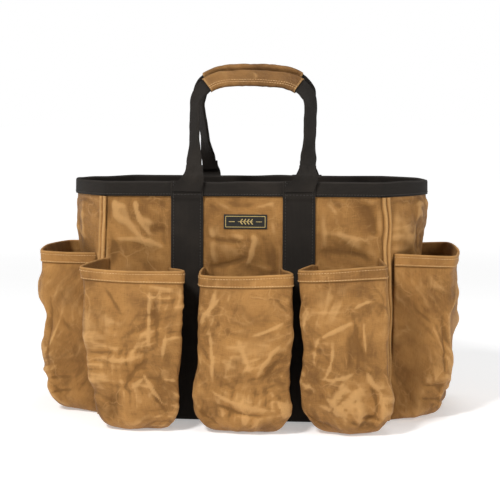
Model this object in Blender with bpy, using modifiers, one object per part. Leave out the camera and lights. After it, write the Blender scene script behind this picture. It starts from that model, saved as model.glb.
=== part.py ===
"""Garden tool bag in waxed canvas: an open tote with eight box pockets and two webbing handles.

The bag stands on the ground with its front towards -Y. Its origin is the middle of the ground under it,
+X is to the right of someone who looks at the front, and +Z is up. Everything is in metres.
Cloth pieces are bent sheets with a wall, each a body of its own, that meet their neighbours across SEAM_GAP.
"""

import math
from dataclasses import dataclass

import bmesh
import bpy
from mathutils import Vector

# Cloth, webbing and board as bought
CANVAS = 0.0012
WEBBING = 0.0018
WEBBING_WIDTH = 0.0381
BOARD = 0.003
LABEL = 0.0008
SEAM_GAP = 0.0003
MERGE = 0.00001

# The open body
BODY_HEIGHT = 0.283
BASE_WIDTH = 0.340
RIM_WIDTH = 0.322
BASE_DEPTH = 0.190
RIM_DEPTH = 0.166
BASE_SIDE_BULGE = 0.010
RIM_SIDE_BULGE = 0.054
RIM_FRONT_BOW = -0.003
BASE_FRONT_BOW = 0.003

# Trim on the body
BINDING_DROP = 0.0185
STRAP_CENTRE = 0.066
CORNER_STRIP_WIDTH = 0.008
CORNER_STRIP = 0.0020
CORNER_GAP = 0.0012
STRAP_FOOT_CHAMFER = 0.0012
BOARD_INSET = 0.005
LABEL_WIDTH = 0.051
LABEL_HEIGHT = 0.017
LABEL_CENTRE_X = 0.003
LABEL_CENTRE_Z = 0.235

# Pockets
POCKET_SEAM_CLEARANCE = 0.002
POCKET_CORNER_CLEARANCE = 0.004
POCKET_WALL_CLEARANCE = 0.0010
POCKET_FOOT_RADIUS = 0.020
POCKET_FLOOR_HEIGHT = 0.0016
POCKET_CORNER_RADIUS = 0.009
POCKET_FOOT_ROWS = 4
POCKET_WALL_ROWS = 4

# Handles
FOLDED_WIDTH = WEBBING_WIDTH / 2
FOLDED_THICKNESS = 2 * WEBBING + 0.0002
HINGE_RISE = 0.0042
LEG_START = 0.0016
LEG_TWIST = math.radians(40)
SHOULDER_RADIUS = 0.038
GRIP_SPACING = 0.0170
GRIP_LENGTH = 0.115
GRIP_EASE = 0.00035
GRIP_CORNER_RADIUS = 0.001

CANVAS_COLOUR = (0.46, 0.27, 0.11, 1)
WEBBING_COLOUR = (0.022, 0.018, 0.015, 1)
BOARD_COLOUR = (0.10, 0.09, 0.08, 1)
LABEL_COLOUR = (0.012, 0.011, 0.010, 1)

# The bare wall between two pockets, which a strap runs down
STRAP_GAP = WEBBING_WIDTH + 2 * POCKET_SEAM_CLEARANCE

# Heights of the layers under and round the base
BASE_PANEL_Z = WEBBING + SEAM_GAP + CANVAS / 2
WALL_FOOT_Z = BASE_PANEL_Z + CANVAS / 2 + SEAM_GAP
WALL_TOP_Z = BODY_HEIGHT - WEBBING - SEAM_GAP
BINDING_FOOT_Z = BODY_HEIGHT - BINDING_DROP


@dataclass(frozen=True)
class Pocket:
    """A box pocket. Its edges are sewn to a wall, and its foot and mouth may spread past them.

    depths is how far its front stands out from the sewn edges, at the foot and at the mouth, and bow is how
    much more it does at its middle. The spreads are in widths of the gap that a strap leaves between pockets.
    """

    name: str
    depths: tuple[float, float]
    bow: float
    foot_spread: tuple[float, float]
    mouth_spread: tuple[float, float]
    mouth_heights: tuple[float, float]


@dataclass(frozen=True)
class Handle:
    """A loop of folded webbing, as a path of legs and crown in its own leaning plane.

    feet and shoulders are how far right of each strap's middle the two legs start and end.
    """

    name: str
    side: int
    feet: tuple[float, float]
    shoulders: tuple[float, float]
    shoulder_drops: tuple[float, float]
    rise: float


LEFT_POCKET = Pocket("left", (0.067, 0.067), 0.004, (0.00, 0.57), (0.54, 0.73), (0.190, 0.179))
MIDDLE_POCKET = Pocket("middle", (0.069, 0.069), 0.004, (0.16, 0.47), (-0.07, 0.51), (0.180, 0.180))
RIGHT_POCKET = Pocket("right", (0.067, 0.067), 0.004, (0.33, 0.30), (0.47, 0.21), (0.184, 0.193))
SIDE_POCKET = Pocket("side", (0.066, 0.085), 0.007, (-0.10, -0.10), (0.00, 0.00), (0.196, 0.196))
FRONT_HANDLE = Handle("front", -1, (0.008, 0.0095), (0.000, 0.011), (0.006, 0.011), 0.1174)
BACK_HANDLE = Handle("back", 1, (0.0055, 0.001), (-0.003, 0.008), (0.007, 0.008), 0.1254)


def blend(low, high, share):
    """The value a share of the way from low to high."""
    return low + (high - low) * share


def half_width(z):
    """From the bag's middle to its corner seams at height z."""
    return blend(BASE_WIDTH, RIM_WIDTH, z / BODY_HEIGHT) / 2


def half_depth(z):
    """From the bag's middle to its front and back seams at height z."""
    return blend(BASE_DEPTH, RIM_DEPTH, z / BODY_HEIGHT) / 2


def front_y(x, z):
    """The middle of the front wall: a shallow parabola between the corner seams."""
    bow = blend(BASE_FRONT_BOW, RIM_FRONT_BOW, z / BODY_HEIGHT)
    return -half_depth(z) - bow * (1 - (x / half_width(z)) ** 2)


def side_bulge(z):
    """How far the gusset stands out past the corner seams. It opens quickly above the base."""
    return blend(BASE_SIDE_BULGE, RIM_SIDE_BULGE, math.sin(math.pi / 2 * z / BODY_HEIGHT))


def side_x(y, z):
    """The middle of the right gusset: a parabola between the corner seams."""
    return half_width(z) + side_bulge(z) * (1 - (y / half_depth(z)) ** 2)


def side_normal(y, z):
    """The gusset's outward direction in plan."""
    slope = 2 * side_bulge(z) * y / half_depth(z) ** 2
    return Vector((1, slope, 0)).normalized()


def rounded_path(points, radius, steps=5):
    """A polyline through the points whose inner corners are arcs, as (x, y) vectors."""
    path = [points[0]]
    for before, corner, after in zip(points, points[1:], points[2:]):
        into, out = (corner - before), (after - corner)
        turn = into.angle_signed(out)
        if abs(turn) < 1e-4:
            path.append(corner)
            continue
        cut = min(radius * math.tan(abs(turn) / 2), 0.49 * into.length, 0.49 * out.length)
        start, end = corner - into.normalized() * cut, corner + out.normalized() * cut
        for step in range(steps + 1):
            share = step / steps
            path.append(start.lerp(corner, share).lerp(corner.lerp(end, share), share))
    return path + [points[-1]]


def along(path, share):
    """The point and the unit direction a share of the way along a polyline, by length."""
    lengths = [(b - a).length for a, b in zip(path, path[1:])]
    left = share * sum(lengths)
    for (a, b), length in zip(zip(path, path[1:]), lengths):
        if left <= length or b is path[-1]:
            return a.lerp(b, min(1, left / length)), (b - a).normalized()
        left -= length
    raise ValueError("a path needs at least two points")


def path_length(path):
    """The length of a polyline."""
    return sum((b - a).length for a, b in zip(path, path[1:]))


def make_material(name, colour, roughness):
    """A Principled material of one colour."""
    material = bpy.data.materials.new(name)
    material.use_nodes = True
    shader = material.node_tree.nodes["Principled BSDF"]
    shader.inputs["Base Color"].default_value = colour
    shader.inputs["Roughness"].default_value = roughness
    shader.inputs["Metallic"].default_value = 0.0
    return material


def bent_sheet(name, columns, rows, surface, thickness, material):
    """A grid bent to surface(u, v), with u and v from 0 to 1, and given its wall on both sides."""
    bm = bmesh.new()
    bmesh.ops.create_grid(bm, x_segments=columns, y_segments=rows, size=0.5)
    for vert in bm.verts:
        vert.co = surface(vert.co.x + 0.5, vert.co.y + 0.5)
    bmesh.ops.remove_doubles(bm, verts=bm.verts, dist=MERGE)
    bmesh.ops.recalc_face_normals(bm, faces=bm.faces)
    mesh = bpy.data.meshes.new(name)
    bm.to_mesh(mesh)
    bm.free()
    mesh.materials.append(material)
    sheet = add(name, mesh)
    wall = sheet.modifiers.new("wall", "SOLIDIFY")
    wall.thickness = thickness
    wall.offset = 0
    wall.use_even_offset = True
    return sheet


def add(name, mesh, turn=0.0):
    """An object for a mesh in the bag's collection, turned about the bag's middle."""
    piece = bpy.data.objects.new(name, mesh)
    piece.rotation_euler.z = turn
    BAG.objects.link(piece)
    return piece


def turned_copy(source, name):
    """The same piece on the opposite side of the bag, half a turn about its middle."""
    piece = add(name, source.data, math.pi)
    wall = piece.modifiers.new("wall", "SOLIDIFY")
    wall.thickness = source.modifiers["wall"].thickness
    wall.offset = 0
    wall.use_even_offset = True
    return piece


def make_walls(canvas):
    """The front and back panels and the two side gussets."""

    def front(u, v):
        z = blend(WALL_FOOT_Z, WALL_TOP_Z, v)
        reach = half_width(z) - CORNER_GAP
        x = blend(-reach, reach, u)
        return Vector((x, front_y(x, z), z))

    def side(u, v):
        z = blend(WALL_FOOT_Z, WALL_TOP_Z, v)
        reach = half_depth(z) - CORNER_GAP
        y = blend(-reach, reach, u)
        return Vector((side_x(y, z), y, z))

    turned_copy(bent_sheet("front_panel", 12, 6, front, CANVAS, canvas), "back_panel")
    turned_copy(bent_sheet("right_gusset", 24, 12, side, CANVAS, canvas), "left_gusset")


def make_base(canvas, board):
    """The bottom panel, flush with the walls, and the stiff board that lies on it inside."""

    def plate(z, inset):
        depth = half_depth(z) - inset

        def surface(u, v):
            y = blend(-depth, depth, v)
            reach = side_x(y, z) - inset
            x = blend(-reach, reach, u)
            return Vector((x, y * front_y(x, z) / front_y(half_width(z), z), z))

        return surface

    bent_sheet("base_panel", 12, 12, plate(BASE_PANEL_Z, 0), CANVAS, canvas)
    board_z = BASE_PANEL_Z + CANVAS / 2 + SEAM_GAP + BOARD / 2
    bent_sheet("base_board", 12, 12, plate(board_z, BOARD_INSET), BOARD, board)


def rim_point(u, offset, z):
    """A point beside the walls at height z, round the bag from its right back corner: offset is outwards."""
    quarter, share = divmod(min(u, 1 - 1e-9) * 4, 1)
    sweep = blend(1, -1, share)
    if quarter in (0, 2):
        y = sweep * half_depth(z)
        centre, out = Vector((side_x(y, z), y, z)), side_normal(y, z)
    else:
        x = sweep * half_width(z)
        centre, out = Vector((x, front_y(x, z), z)), Vector((0, -1, 0))
    corner_share = abs(sweep) ** 12
    if corner_share > 0:
        corner_y = half_depth(z) * (sweep if quarter in (0, 2) else -1)
        meeting = Vector((0, -1 if corner_y < 0 else 1, 0)) + side_normal(corner_y, z)
        meeting.x = abs(meeting.x) * (1 if centre.x > 0 else -1)
        out = out.lerp(meeting.normalized(), corner_share).normalized()
    point = centre + out * offset
    return point if quarter < 2 else Vector((-point.x, -point.y, point.z))


def make_rim_binding(webbing):
    """Webbing folded lengthwise over the rim, one loop round the mouth."""
    beside = CANVAS / 2 + SEAM_GAP + WEBBING / 2
    over = BODY_HEIGHT - WEBBING / 2
    profile = [(beside, BINDING_FOOT_Z), (beside, over), (-beside, over), (-beside, BINDING_FOOT_Z)]

    def surface(u, v):
        offset, z = profile[round(v * (len(profile) - 1))]
        return rim_point(u, offset, z)

    bent_sheet("rim_binding", 96, len(profile) - 1, surface, WEBBING, webbing)


def make_corner_strips(canvas):
    """The four stitched seams that lap each panel over its gusset."""
    beside = CANVAS / 2 + SEAM_GAP + CORNER_STRIP / 2
    top = BINDING_FOOT_Z - SEAM_GAP

    def strip(end):
        def surface(u, v):
            z = blend(WALL_FOOT_Z, top, v)
            y = end * (half_depth(z) - CORNER_GAP - u * CORNER_STRIP_WIDTH)
            return Vector((side_x(y, z), y, z)) + side_normal(y, z) * beside

        return surface

    front_right = bent_sheet("front_right_corner_seam", 2, 12, strip(-1), CORNER_STRIP, canvas)
    back_right = bent_sheet("back_right_corner_seam", 2, 12, strip(1), CORNER_STRIP, canvas)
    turned_copy(front_right, "back_left_corner_seam")
    turned_copy(back_right, "front_left_corner_seam")


def strap_offset(z):
    """From the wall's middle to the strap's: flat on the canvas, and outside the binding at the rim."""
    low = CANVAS / 2 + SEAM_GAP + WEBBING / 2
    high = low + WEBBING + SEAM_GAP
    return high if z > BINDING_FOOT_Z - 2 * WEBBING else low


def make_sling_straps(webbing):
    """Each runs from the front rim down, under the base and up to the back rim."""
    step_out = BINDING_FOOT_Z - 1.9 * WEBBING
    heights = (BODY_HEIGHT, step_out, step_out - 2 * WEBBING, BODY_HEIGHT / 2, WEBBING / 2 + STRAP_FOOT_CHAMFER)

    def surface(u, v):
        x = STRAP_CENTRE + blend(-WEBBING_WIDTH, WEBBING_WIDTH, u) / 2
        down = [(front_y(x, z) - strap_offset(z), z) for z in heights]
        foot_y, foot_z = down[-1]
        half = down + [(foot_y + STRAP_FOOT_CHAMFER, foot_z - STRAP_FOOT_CHAMFER)]
        profile = half + [(-y, z) for y, z in reversed(half)]
        y, z = profile[round(v * (len(profile) - 1))]
        return Vector((x, y, z))

    right = bent_sheet("right_sling_strap", 3, 2 * len(heights) + 1, surface, WEBBING, webbing)
    turned_copy(right, "left_sling_strap")


def make_label(material):
    """The woven label, flat on the front panel between the straps."""
    beside = CANVAS / 2 + SEAM_GAP + LABEL / 2

    def surface(u, v):
        x = LABEL_CENTRE_X + blend(-LABEL_WIDTH, LABEL_WIDTH, u) / 2
        z = LABEL_CENTRE_Z + blend(-LABEL_HEIGHT, LABEL_HEIGHT, v) / 2
        return Vector((x, front_y(x, z) - beside, z))

    bent_sheet("woven_label", 4, 1, surface, LABEL, material)


def pocket_sheet(pocket, edges, wall):
    """The surface of a pocket, from the back of its floor round the foot and up to the mouth.

    edges(z) gives the two sewn edges across the wall, and wall(a, out, z) the point that is a across the
    wall and out in front of it. Returns the surface with its columns and rows.
    """

    def outline(z, share_up, inset):
        left, right = edges(z)
        spread = [STRAP_GAP * blend(f, m, share_up) for f, m in zip(pocket.foot_spread, pocket.mouth_spread)]
        far_left, far_right = left - spread[0] + inset, right + spread[1] - inset
        out = blend(*pocket.depths, share_up) - inset
        middle = Vector(((far_left + far_right) / 2, out + pocket.bow))
        points = [Vector((left, 0)), Vector((far_left, out)), middle, Vector((far_right, out)), Vector((right, 0))]
        return rounded_path(points, POCKET_CORNER_RADIUS, 3)

    def level(row, top):
        """Height, share of the way up, and inset of a row above the floor's back edge."""
        turn = min(row - 1, POCKET_FOOT_ROWS) / POCKET_FOOT_ROWS * math.pi / 2
        z = POCKET_FLOOR_HEIGHT + POCKET_FOOT_RADIUS * (1 - math.cos(turn))
        z = blend(z, top, max(0, row - 1 - POCKET_FOOT_ROWS) / POCKET_WALL_ROWS)
        share_up = (z - POCKET_FLOOR_HEIGHT) / (top - POCKET_FLOOR_HEIGHT)
        return z, share_up, POCKET_FOOT_RADIUS * (1 - math.sin(turn))

    columns = len(outline(0, 0, 0)) - 1
    rows = 1 + POCKET_FOOT_ROWS + POCKET_WALL_ROWS

    def surface(u, v):
        row = round(v * rows)
        z, share_up, inset = level(max(row, 1), blend(*pocket.mouth_heights, u))
        point = outline(z, share_up, inset)[round(u * columns)]
        if row == 0:
            point = Vector((blend(*edges(z), u), 0))
        return wall(point.x, point.y + POCKET_WALL_CLEARANCE, z)

    return surface, columns, rows


def make_pockets(canvas):
    """Three pockets on each face, between the straps, and one across each gusset."""
    inner = STRAP_CENTRE - STRAP_GAP / 2
    outer = STRAP_CENTRE + STRAP_GAP / 2

    def at_corner(z):
        return half_width(z) - POCKET_CORNER_CLEARANCE

    def before_front(x, out, z):
        reach = half_width(z)
        return Vector((x, front_y(max(-reach, min(reach, x)), z) - CANVAS / 2 - out, z))

    front_edges = (
        (LEFT_POCKET, lambda z: (-at_corner(z), -outer)),
        (MIDDLE_POCKET, lambda z: (-inner, inner)),
        (RIGHT_POCKET, lambda z: (outer, at_corner(z))),
    )
    opposite = {"left": "right", "middle": "middle", "right": "left"}
    for pocket, edges in front_edges:
        surface, columns, rows = pocket_sheet(pocket, edges, before_front)
        front = bent_sheet(f"front_pocket_{pocket.name}", columns, rows, surface, CANVAS, canvas)
        turned_copy(front, f"back_pocket_{opposite[pocket.name]}")

    def side_edges(z):
        reach = half_depth(z) - CORNER_GAP - CORNER_STRIP_WIDTH - POCKET_SEAM_CLEARANCE
        return (-reach, reach)

    def beside_gusset(y, out, z):
        """Out is measured from the corner seams. The sewn edges lie on the gusset itself."""
        gusset = side_x(y, z) + CANVAS / 2 + POCKET_WALL_CLEARANCE
        return Vector((max(gusset, half_width(z) + out), y, z))

    surface, columns, rows = pocket_sheet(SIDE_POCKET, side_edges, beside_gusset)
    right = bent_sheet("right_side_pocket", columns, rows, surface, CANVAS, canvas)
    turned_copy(right, "left_side_pocket")


def hinge_z():
    """The height at which a handle folds over the rim."""
    return BODY_HEIGHT + HINGE_RISE


def hinge_y():
    """How far in front of the bag's middle the front handle folds."""
    return front_y(STRAP_CENTRE, BODY_HEIGHT) - strap_offset(BODY_HEIGHT)


def make_handle(handle, webbing, canvas):
    """A loop of webbing folded lengthwise, and the canvas sleeve sewn round its crown."""
    lean_back = abs(hinge_y()) - GRIP_SPACING / 2
    length = math.hypot(lean_back, handle.rise)
    up = Vector((0, -handle.side * lean_back, handle.rise)) / length
    flat = Vector((0, up.z, -up.y))
    hinge = Vector((0, handle.side * abs(hinge_y()), hinge_z()))
    straps = (-STRAP_CENTRE, STRAP_CENTRE)
    feet = [Vector((strap + right, LEG_START)) for strap, right in zip(straps, handle.feet)]
    shoulders = [
        Vector((strap + right, length - drop))
        for strap, right, drop in zip(straps, handle.shoulders, handle.shoulder_drops)
    ]
    path = rounded_path([feet[0], *shoulders, feet[1]], SHOULDER_RADIUS, 8)
    crown_x = (shoulders[0].x + shoulders[1].x) / 2
    half_span = (shoulders[1].x - shoulders[0].x) / 2
    crown_lift = sum(handle.shoulder_drops) / 2

    def placed(share, across, through, twist=0.0):
        """The crown is lifted by a parabola, and twist turns the section about the path."""
        point, direction = along(path, share)
        lift = crown_lift * max(0, 1 - ((point.x - crown_x) / half_span) ** 2)
        side = Vector((-direction.y, direction.x)) * across * math.cos(twist)
        point = point + side + Vector((0, lift))
        return hinge + Vector((point.x, 0, 0)) + up * point.y + flat * (through + across * math.sin(twist))

    grip_share = GRIP_LENGTH / path_length(path)
    leg_share = (1 - grip_share) / 2
    leg_columns, grip_columns = 12, 12
    columns = 2 * leg_columns + grip_columns

    def ribbon(u, v):
        # Under the sleeve the ribbon bends at the same places as the sleeve does
        column = round(u * columns)
        on_grip = min(max(column - leg_columns, 0), grip_columns)
        up_leg = min(column, columns - column) / leg_columns
        share = (column - on_grip) / leg_columns * leg_share + on_grip / grip_columns * grip_share
        twist = LEG_TWIST * math.sin(math.pi * min(1, up_leg)) ** 2
        return placed(share, blend(-FOLDED_WIDTH, FOLDED_WIDTH, v) / 2, 0, twist)

    bent_sheet(f"{handle.name}_handle_webbing", columns, 1, ribbon, FOLDED_THICKNESS, webbing)

    half_high = FOLDED_WIDTH / 2 + GRIP_EASE + CANVAS / 2
    half_deep = FOLDED_THICKNESS / 2 + GRIP_EASE + CANVAS / 2
    section = rounded_path(
        [Vector(p) for p in (
            (0, half_deep), (-half_high, half_deep), (-half_high, -half_deep),
            (half_high, -half_deep), (half_high, half_deep), (0, half_deep),
        )],
        GRIP_CORNER_RADIUS, 2,
    )

    def sleeve(u, v):
        point = section[round(v * (len(section) - 1))]
        return placed(leg_share + u * grip_share, point.x, point.y)

    bent_sheet(f"{handle.name}_grip_sleeve", grip_columns, len(section) - 1, sleeve, CANVAS, canvas)


for leftover in list(bpy.data.objects):
    bpy.data.objects.remove(leftover)
BAG = bpy.data.collections.new("garden_tool_bag")
bpy.context.scene.collection.children.link(BAG)

canvas_material = make_material("waxed_canvas", CANVAS_COLOUR, 0.55)
webbing_material = make_material("black_webbing", WEBBING_COLOUR, 0.85)
board_material = make_material("base_stiffener", BOARD_COLOUR, 0.6)
label_material = make_material("label_weave", LABEL_COLOUR, 0.8)

make_walls(canvas_material)
make_base(canvas_material, board_material)
make_rim_binding(webbing_material)
make_corner_strips(canvas_material)
make_sling_straps(webbing_material)
make_label(label_material)
make_pockets(canvas_material)
make_handle(FRONT_HANDLE, webbing_material, canvas_material)
make_handle(BACK_HANDLE, webbing_material, canvas_material)
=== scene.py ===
"""Looks of the garden tool bag: waxed canvas body and pockets, webbing trim and handles, thread and label.

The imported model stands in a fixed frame. It is in metres, its front faces -Y, and +Z is up. Each cloth piece
is a surface of two parameters, worked out on a grid, pushed along its normals by creases, and given a wall.
"""

import logging
import math
from dataclasses import dataclass, field
from enum import Enum

import bmesh
import bpy
import numpy as np
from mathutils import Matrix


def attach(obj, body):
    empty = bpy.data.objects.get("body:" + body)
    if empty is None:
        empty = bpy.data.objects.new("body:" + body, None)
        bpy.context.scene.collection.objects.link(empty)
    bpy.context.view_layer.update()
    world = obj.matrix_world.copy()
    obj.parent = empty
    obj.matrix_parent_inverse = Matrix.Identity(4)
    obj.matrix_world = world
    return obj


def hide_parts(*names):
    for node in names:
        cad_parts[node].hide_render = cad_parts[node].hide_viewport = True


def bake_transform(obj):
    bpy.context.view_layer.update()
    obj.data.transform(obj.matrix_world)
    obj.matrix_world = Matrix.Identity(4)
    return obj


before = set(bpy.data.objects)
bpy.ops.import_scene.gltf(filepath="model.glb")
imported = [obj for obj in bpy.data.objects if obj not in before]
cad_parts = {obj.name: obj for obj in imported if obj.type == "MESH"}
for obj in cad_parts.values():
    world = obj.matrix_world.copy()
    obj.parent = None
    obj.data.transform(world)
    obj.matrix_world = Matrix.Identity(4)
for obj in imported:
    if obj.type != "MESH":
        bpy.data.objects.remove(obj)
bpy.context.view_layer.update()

log = logging.getLogger("garden_tool_bag")

Array = np.ndarray
Colour = tuple[float, float, float, float]

MM = 0.001
CANVAS_WALL = 1.2 * MM
WEBBING_WALL = 1.8 * MM
WEBBING_WIDTH = 38.1 * MM
SEAM_GAP = 0.3 * MM
HALF_TURN = np.array([-1.0, -1.0, 1.0])
ACROSS = np.array([1.0, 0.0, 0.0])


class Body(Enum):
    """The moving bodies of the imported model."""

    BAG = "bag"
    FRONT_HANDLE = "front_handle"
    BACK_HANDLE = "back_handle"


class Slot(Enum):
    """The record's material slots, passed along with each new piece."""

    CANVAS = "waxed_canvas"
    WEBBING = "black_webbing"
    LABEL = "label_weave"


# ---------------------------------------------------------------- numbers and fields


def blend(low: Array | float, high: Array | float, share: Array | float) -> Array | float:
    """The value a share of the way from low to high."""
    return low + (high - low) * share


def ease(low: float, high: float, value: Array | float) -> Array:
    """Smoothstep: 0 below low, 1 above high, and 3t^2 - 2t^3 between them."""
    t = np.clip((np.asarray(value, float) - low) / (high - low), 0, 1)
    return t * t * (3 - 2 * t)


def unit(vectors: Array) -> Array:
    """Vectors over their own lengths."""
    return vectors / np.maximum(np.linalg.norm(vectors, axis=-1, keepdims=True), 1e-12)


def stack(*parts: Array | float) -> Array:
    """Coordinates broadcast together into one array of points."""
    return np.stack(np.broadcast_arrays(*parts), axis=-1).astype(float)


def lines_between(start: float, end: float, step: float, extra: tuple[float, ...] = ()) -> Array:
    """Even grid lines about a step apart, with extra ones.

    Args:
        start: first line.
        end: last line.
        step: longest spacing.
        extra: lines that must be there.

    Returns:
        Sorted lines, none closer than a tenth of the step.
    """
    count = max(2, math.ceil((end - start) / step) + 1)
    lines = np.sort(np.concatenate([np.linspace(start, end, count), np.asarray(extra, float)]))
    keep = np.concatenate([[True], np.diff(lines) > step * 0.1])
    keep[-1] = True
    return lines[keep]


def sampled(at: Array, run: Array, line: Array) -> Array:
    """Points at lengths along a line, straight between its own points, whose lengths are in run."""
    return np.stack([np.interp(at, run, line[:, k]) for k in range(line.shape[1])], -1)


def normals_of(points: Array) -> Array:
    """Unit normals of a grid of points: the cross product of its differences along columns and rows."""
    return unit(np.cross(np.gradient(points, axis=1), np.gradient(points, axis=0)))


def lengths_along(points: Array, axis: int) -> Array:
    """Length from the grid's first line to each point: the running sum of the distances between neighbours.

    Args:
        points: the grid, (rows, columns, 3).
        axis: 0 to go from row to row and 1 from column to column.

    Returns:
        The lengths, (rows, columns).
    """
    steps = np.linalg.norm(np.diff(points, axis=axis), axis=-1)
    pad = [(0, 0), (0, 0)]
    pad[axis] = (1, 0)
    return np.pad(np.cumsum(steps, axis=axis), pad)


@dataclass(frozen=True)
class Fold:
    """A crease between two points of a piece's own flat coordinates, in metres.

    Its height is h * exp(-(sqrt(d^2 + s^2) - s) / w) at distance d, a tent with a tip s round, fading to nothing
    at its ends. A negative height is a valley. bend bows the line sideways at its middle. h is the height times
    deeper, w the width times spread, and s the tip.
    """

    start: tuple[float, float]
    end: tuple[float, float]
    height: float
    width: float = 5 * MM
    bend: float = 0.0
    deeper: float = 1.5
    spread: float = 1.5
    tip: float = 0.9 * MM

    def lift(self, across: Array, up: Array) -> Array:
        """Height of the crease over flat coordinates.

        Args:
            across: sideways coordinate of each point.
            up: upward coordinate of each point.

        Returns:
            The crease's height at each point.
        """
        a, b = np.array(self.start), np.array(self.end)
        line = b - a
        size = np.linalg.norm(line)
        share = ((across - a[0]) * line[0] + (up - a[1]) * line[1]) / size**2
        beside = ((across - a[0]) * -line[1] + (up - a[1]) * line[0]) / size
        beside = beside - self.bend * (1 - (2 * share - 1) ** 2)
        fade = ease(-0.20, 0.35, share) * (1 - ease(0.6, 1.20, share))
        near = np.sqrt(beside**2 + self.tip**2) - self.tip
        return self.deeper * self.height * fade * np.exp(-near / (self.width * self.spread))


@dataclass(frozen=True)
class Crumple:
    """Seeded creasing of stiff waxed cloth: folded waves whose lines are warped by slow swells.

    Each layer adds triangle waves 2 / pi * asin(0.97 * sin(t)) in several directions, rounded at their tips and
    shown in patches. A layer's wavelength is the last one's over shrink, and its height is half. Soft swells of
    a longer wavelength are added to them.
    """

    seed: int
    height: float = 1.3 * MM
    wavelength: float = 62 * MM
    layers: int = 3
    directions: int = 3
    swell: float = 1.0
    warp: float = 0.22
    shrink: float = 1.9
    strength: float = 1.6

    def lift(self, across: Array, up: Array) -> Array:
        """Height of the creasing over flat coordinates.

        Args:
            across: sideways coordinate of each point, in metres.
            up: upward coordinate of each point, in metres.

        Returns:
            The height at each point.
        """
        draw = np.random.default_rng(self.seed)
        total = np.zeros(np.broadcast(across, up).shape)
        warp = [self._swells(draw, across, up, self.wavelength * 2.1) for _ in range(2)]
        a = across + warp[0] * self.wavelength * self.warp
        b = up + warp[1] * self.wavelength * self.warp
        for layer in range(self.layers):
            length = self.wavelength / self.shrink**layer
            for _ in range(self.directions):
                angle, phase = draw.uniform(0, np.pi), draw.uniform(0, 2 * np.pi)
                run = (a * np.cos(angle) + b * np.sin(angle)) * 2 * np.pi / length + phase
                fold = np.arcsin(0.97 * np.sin(run)) / (np.pi / 2)
                patch = ease(-0.5, 0.7, self._swells(draw, across, up, length * 2.3))
                total += self.height / 2.0**layer * fold * patch / self.directions * self.strength
        return total + self.swell * self.height * self._swells(draw, across, up, self.wavelength * 1.6)

    @staticmethod
    def _swells(draw: np.random.Generator, across: Array, up: Array, length: float) -> Array:
        """Five sine waves in drawn directions, added up.

        Args:
            draw: the random draws.
            across: sideways coordinate of each point.
            up: upward coordinate of each point.
            length: about their wavelength.

        Returns:
            Their sum at each point, about -1 to 1.
        """
        total = np.zeros(np.broadcast(across, up).shape)
        for _ in range(5):
            angle, phase, pace = draw.uniform(0, 2 * np.pi), draw.uniform(0, 2 * np.pi), draw.uniform(0.7, 1.4)
            total += np.sin((across * np.cos(angle) + up * np.sin(angle)) * 2 * np.pi * pace / length + phase)
        return total / 2.6


# ---------------------------------------------------------------- meshes


def place(obj: bpy.types.Object, body: Body, slot: Slot, *nodes: str) -> bpy.types.Object:
    """Ties a piece to its body and hides the CAD nodes that it stands for.

    Args:
        obj: the piece.
        body: the body that it moves with.
        slot: not used.
        nodes: the CAD nodes that it stands for.

    Returns:
        The same piece.
    """
    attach(obj, body.value)
    if nodes:
        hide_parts(*nodes)
    log.info("%s: %d faces on %s", obj.name, len(obj.data.polygons), body.value)
    return obj


def mesh_object(name: str, points: Array, faces: Array, material: bpy.types.Material) -> bpy.types.Object:
    """A smooth mesh piece.

    Args:
        name: the piece's name.
        points: its points, (n, 3).
        faces: its quads, (m, 4).
        material: its finish.

    Returns:
        The new object.
    """
    mesh = bpy.data.meshes.new(name)
    mesh.from_pydata(points.reshape(-1, 3).tolist(), [], faces.reshape(-1, faces.shape[-1]).tolist())
    mesh.materials.append(material)
    mesh.polygons.foreach_set("use_smooth", np.ones(len(mesh.polygons), bool))
    obj = bpy.data.objects.new(name, mesh)
    bpy.context.scene.collection.objects.link(obj)
    return obj


def grid_faces(rows: int, columns: int, closed_columns: bool = False) -> Array:
    """Quads of a grid whose points are numbered row by row.

    Args:
        rows: lines of points.
        columns: points in a line.
        closed_columns: joins the last column to the first.

    Returns:
        The quads, (m, 4).
    """
    index = np.arange(rows * columns).reshape(rows, columns)
    if closed_columns:
        index = np.concatenate([index, index[:, :1]], axis=1)
    return np.stack([index[:-1, :-1], index[:-1, 1:], index[1:, 1:], index[1:, :-1]], axis=-1).reshape(-1, 4)


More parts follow.
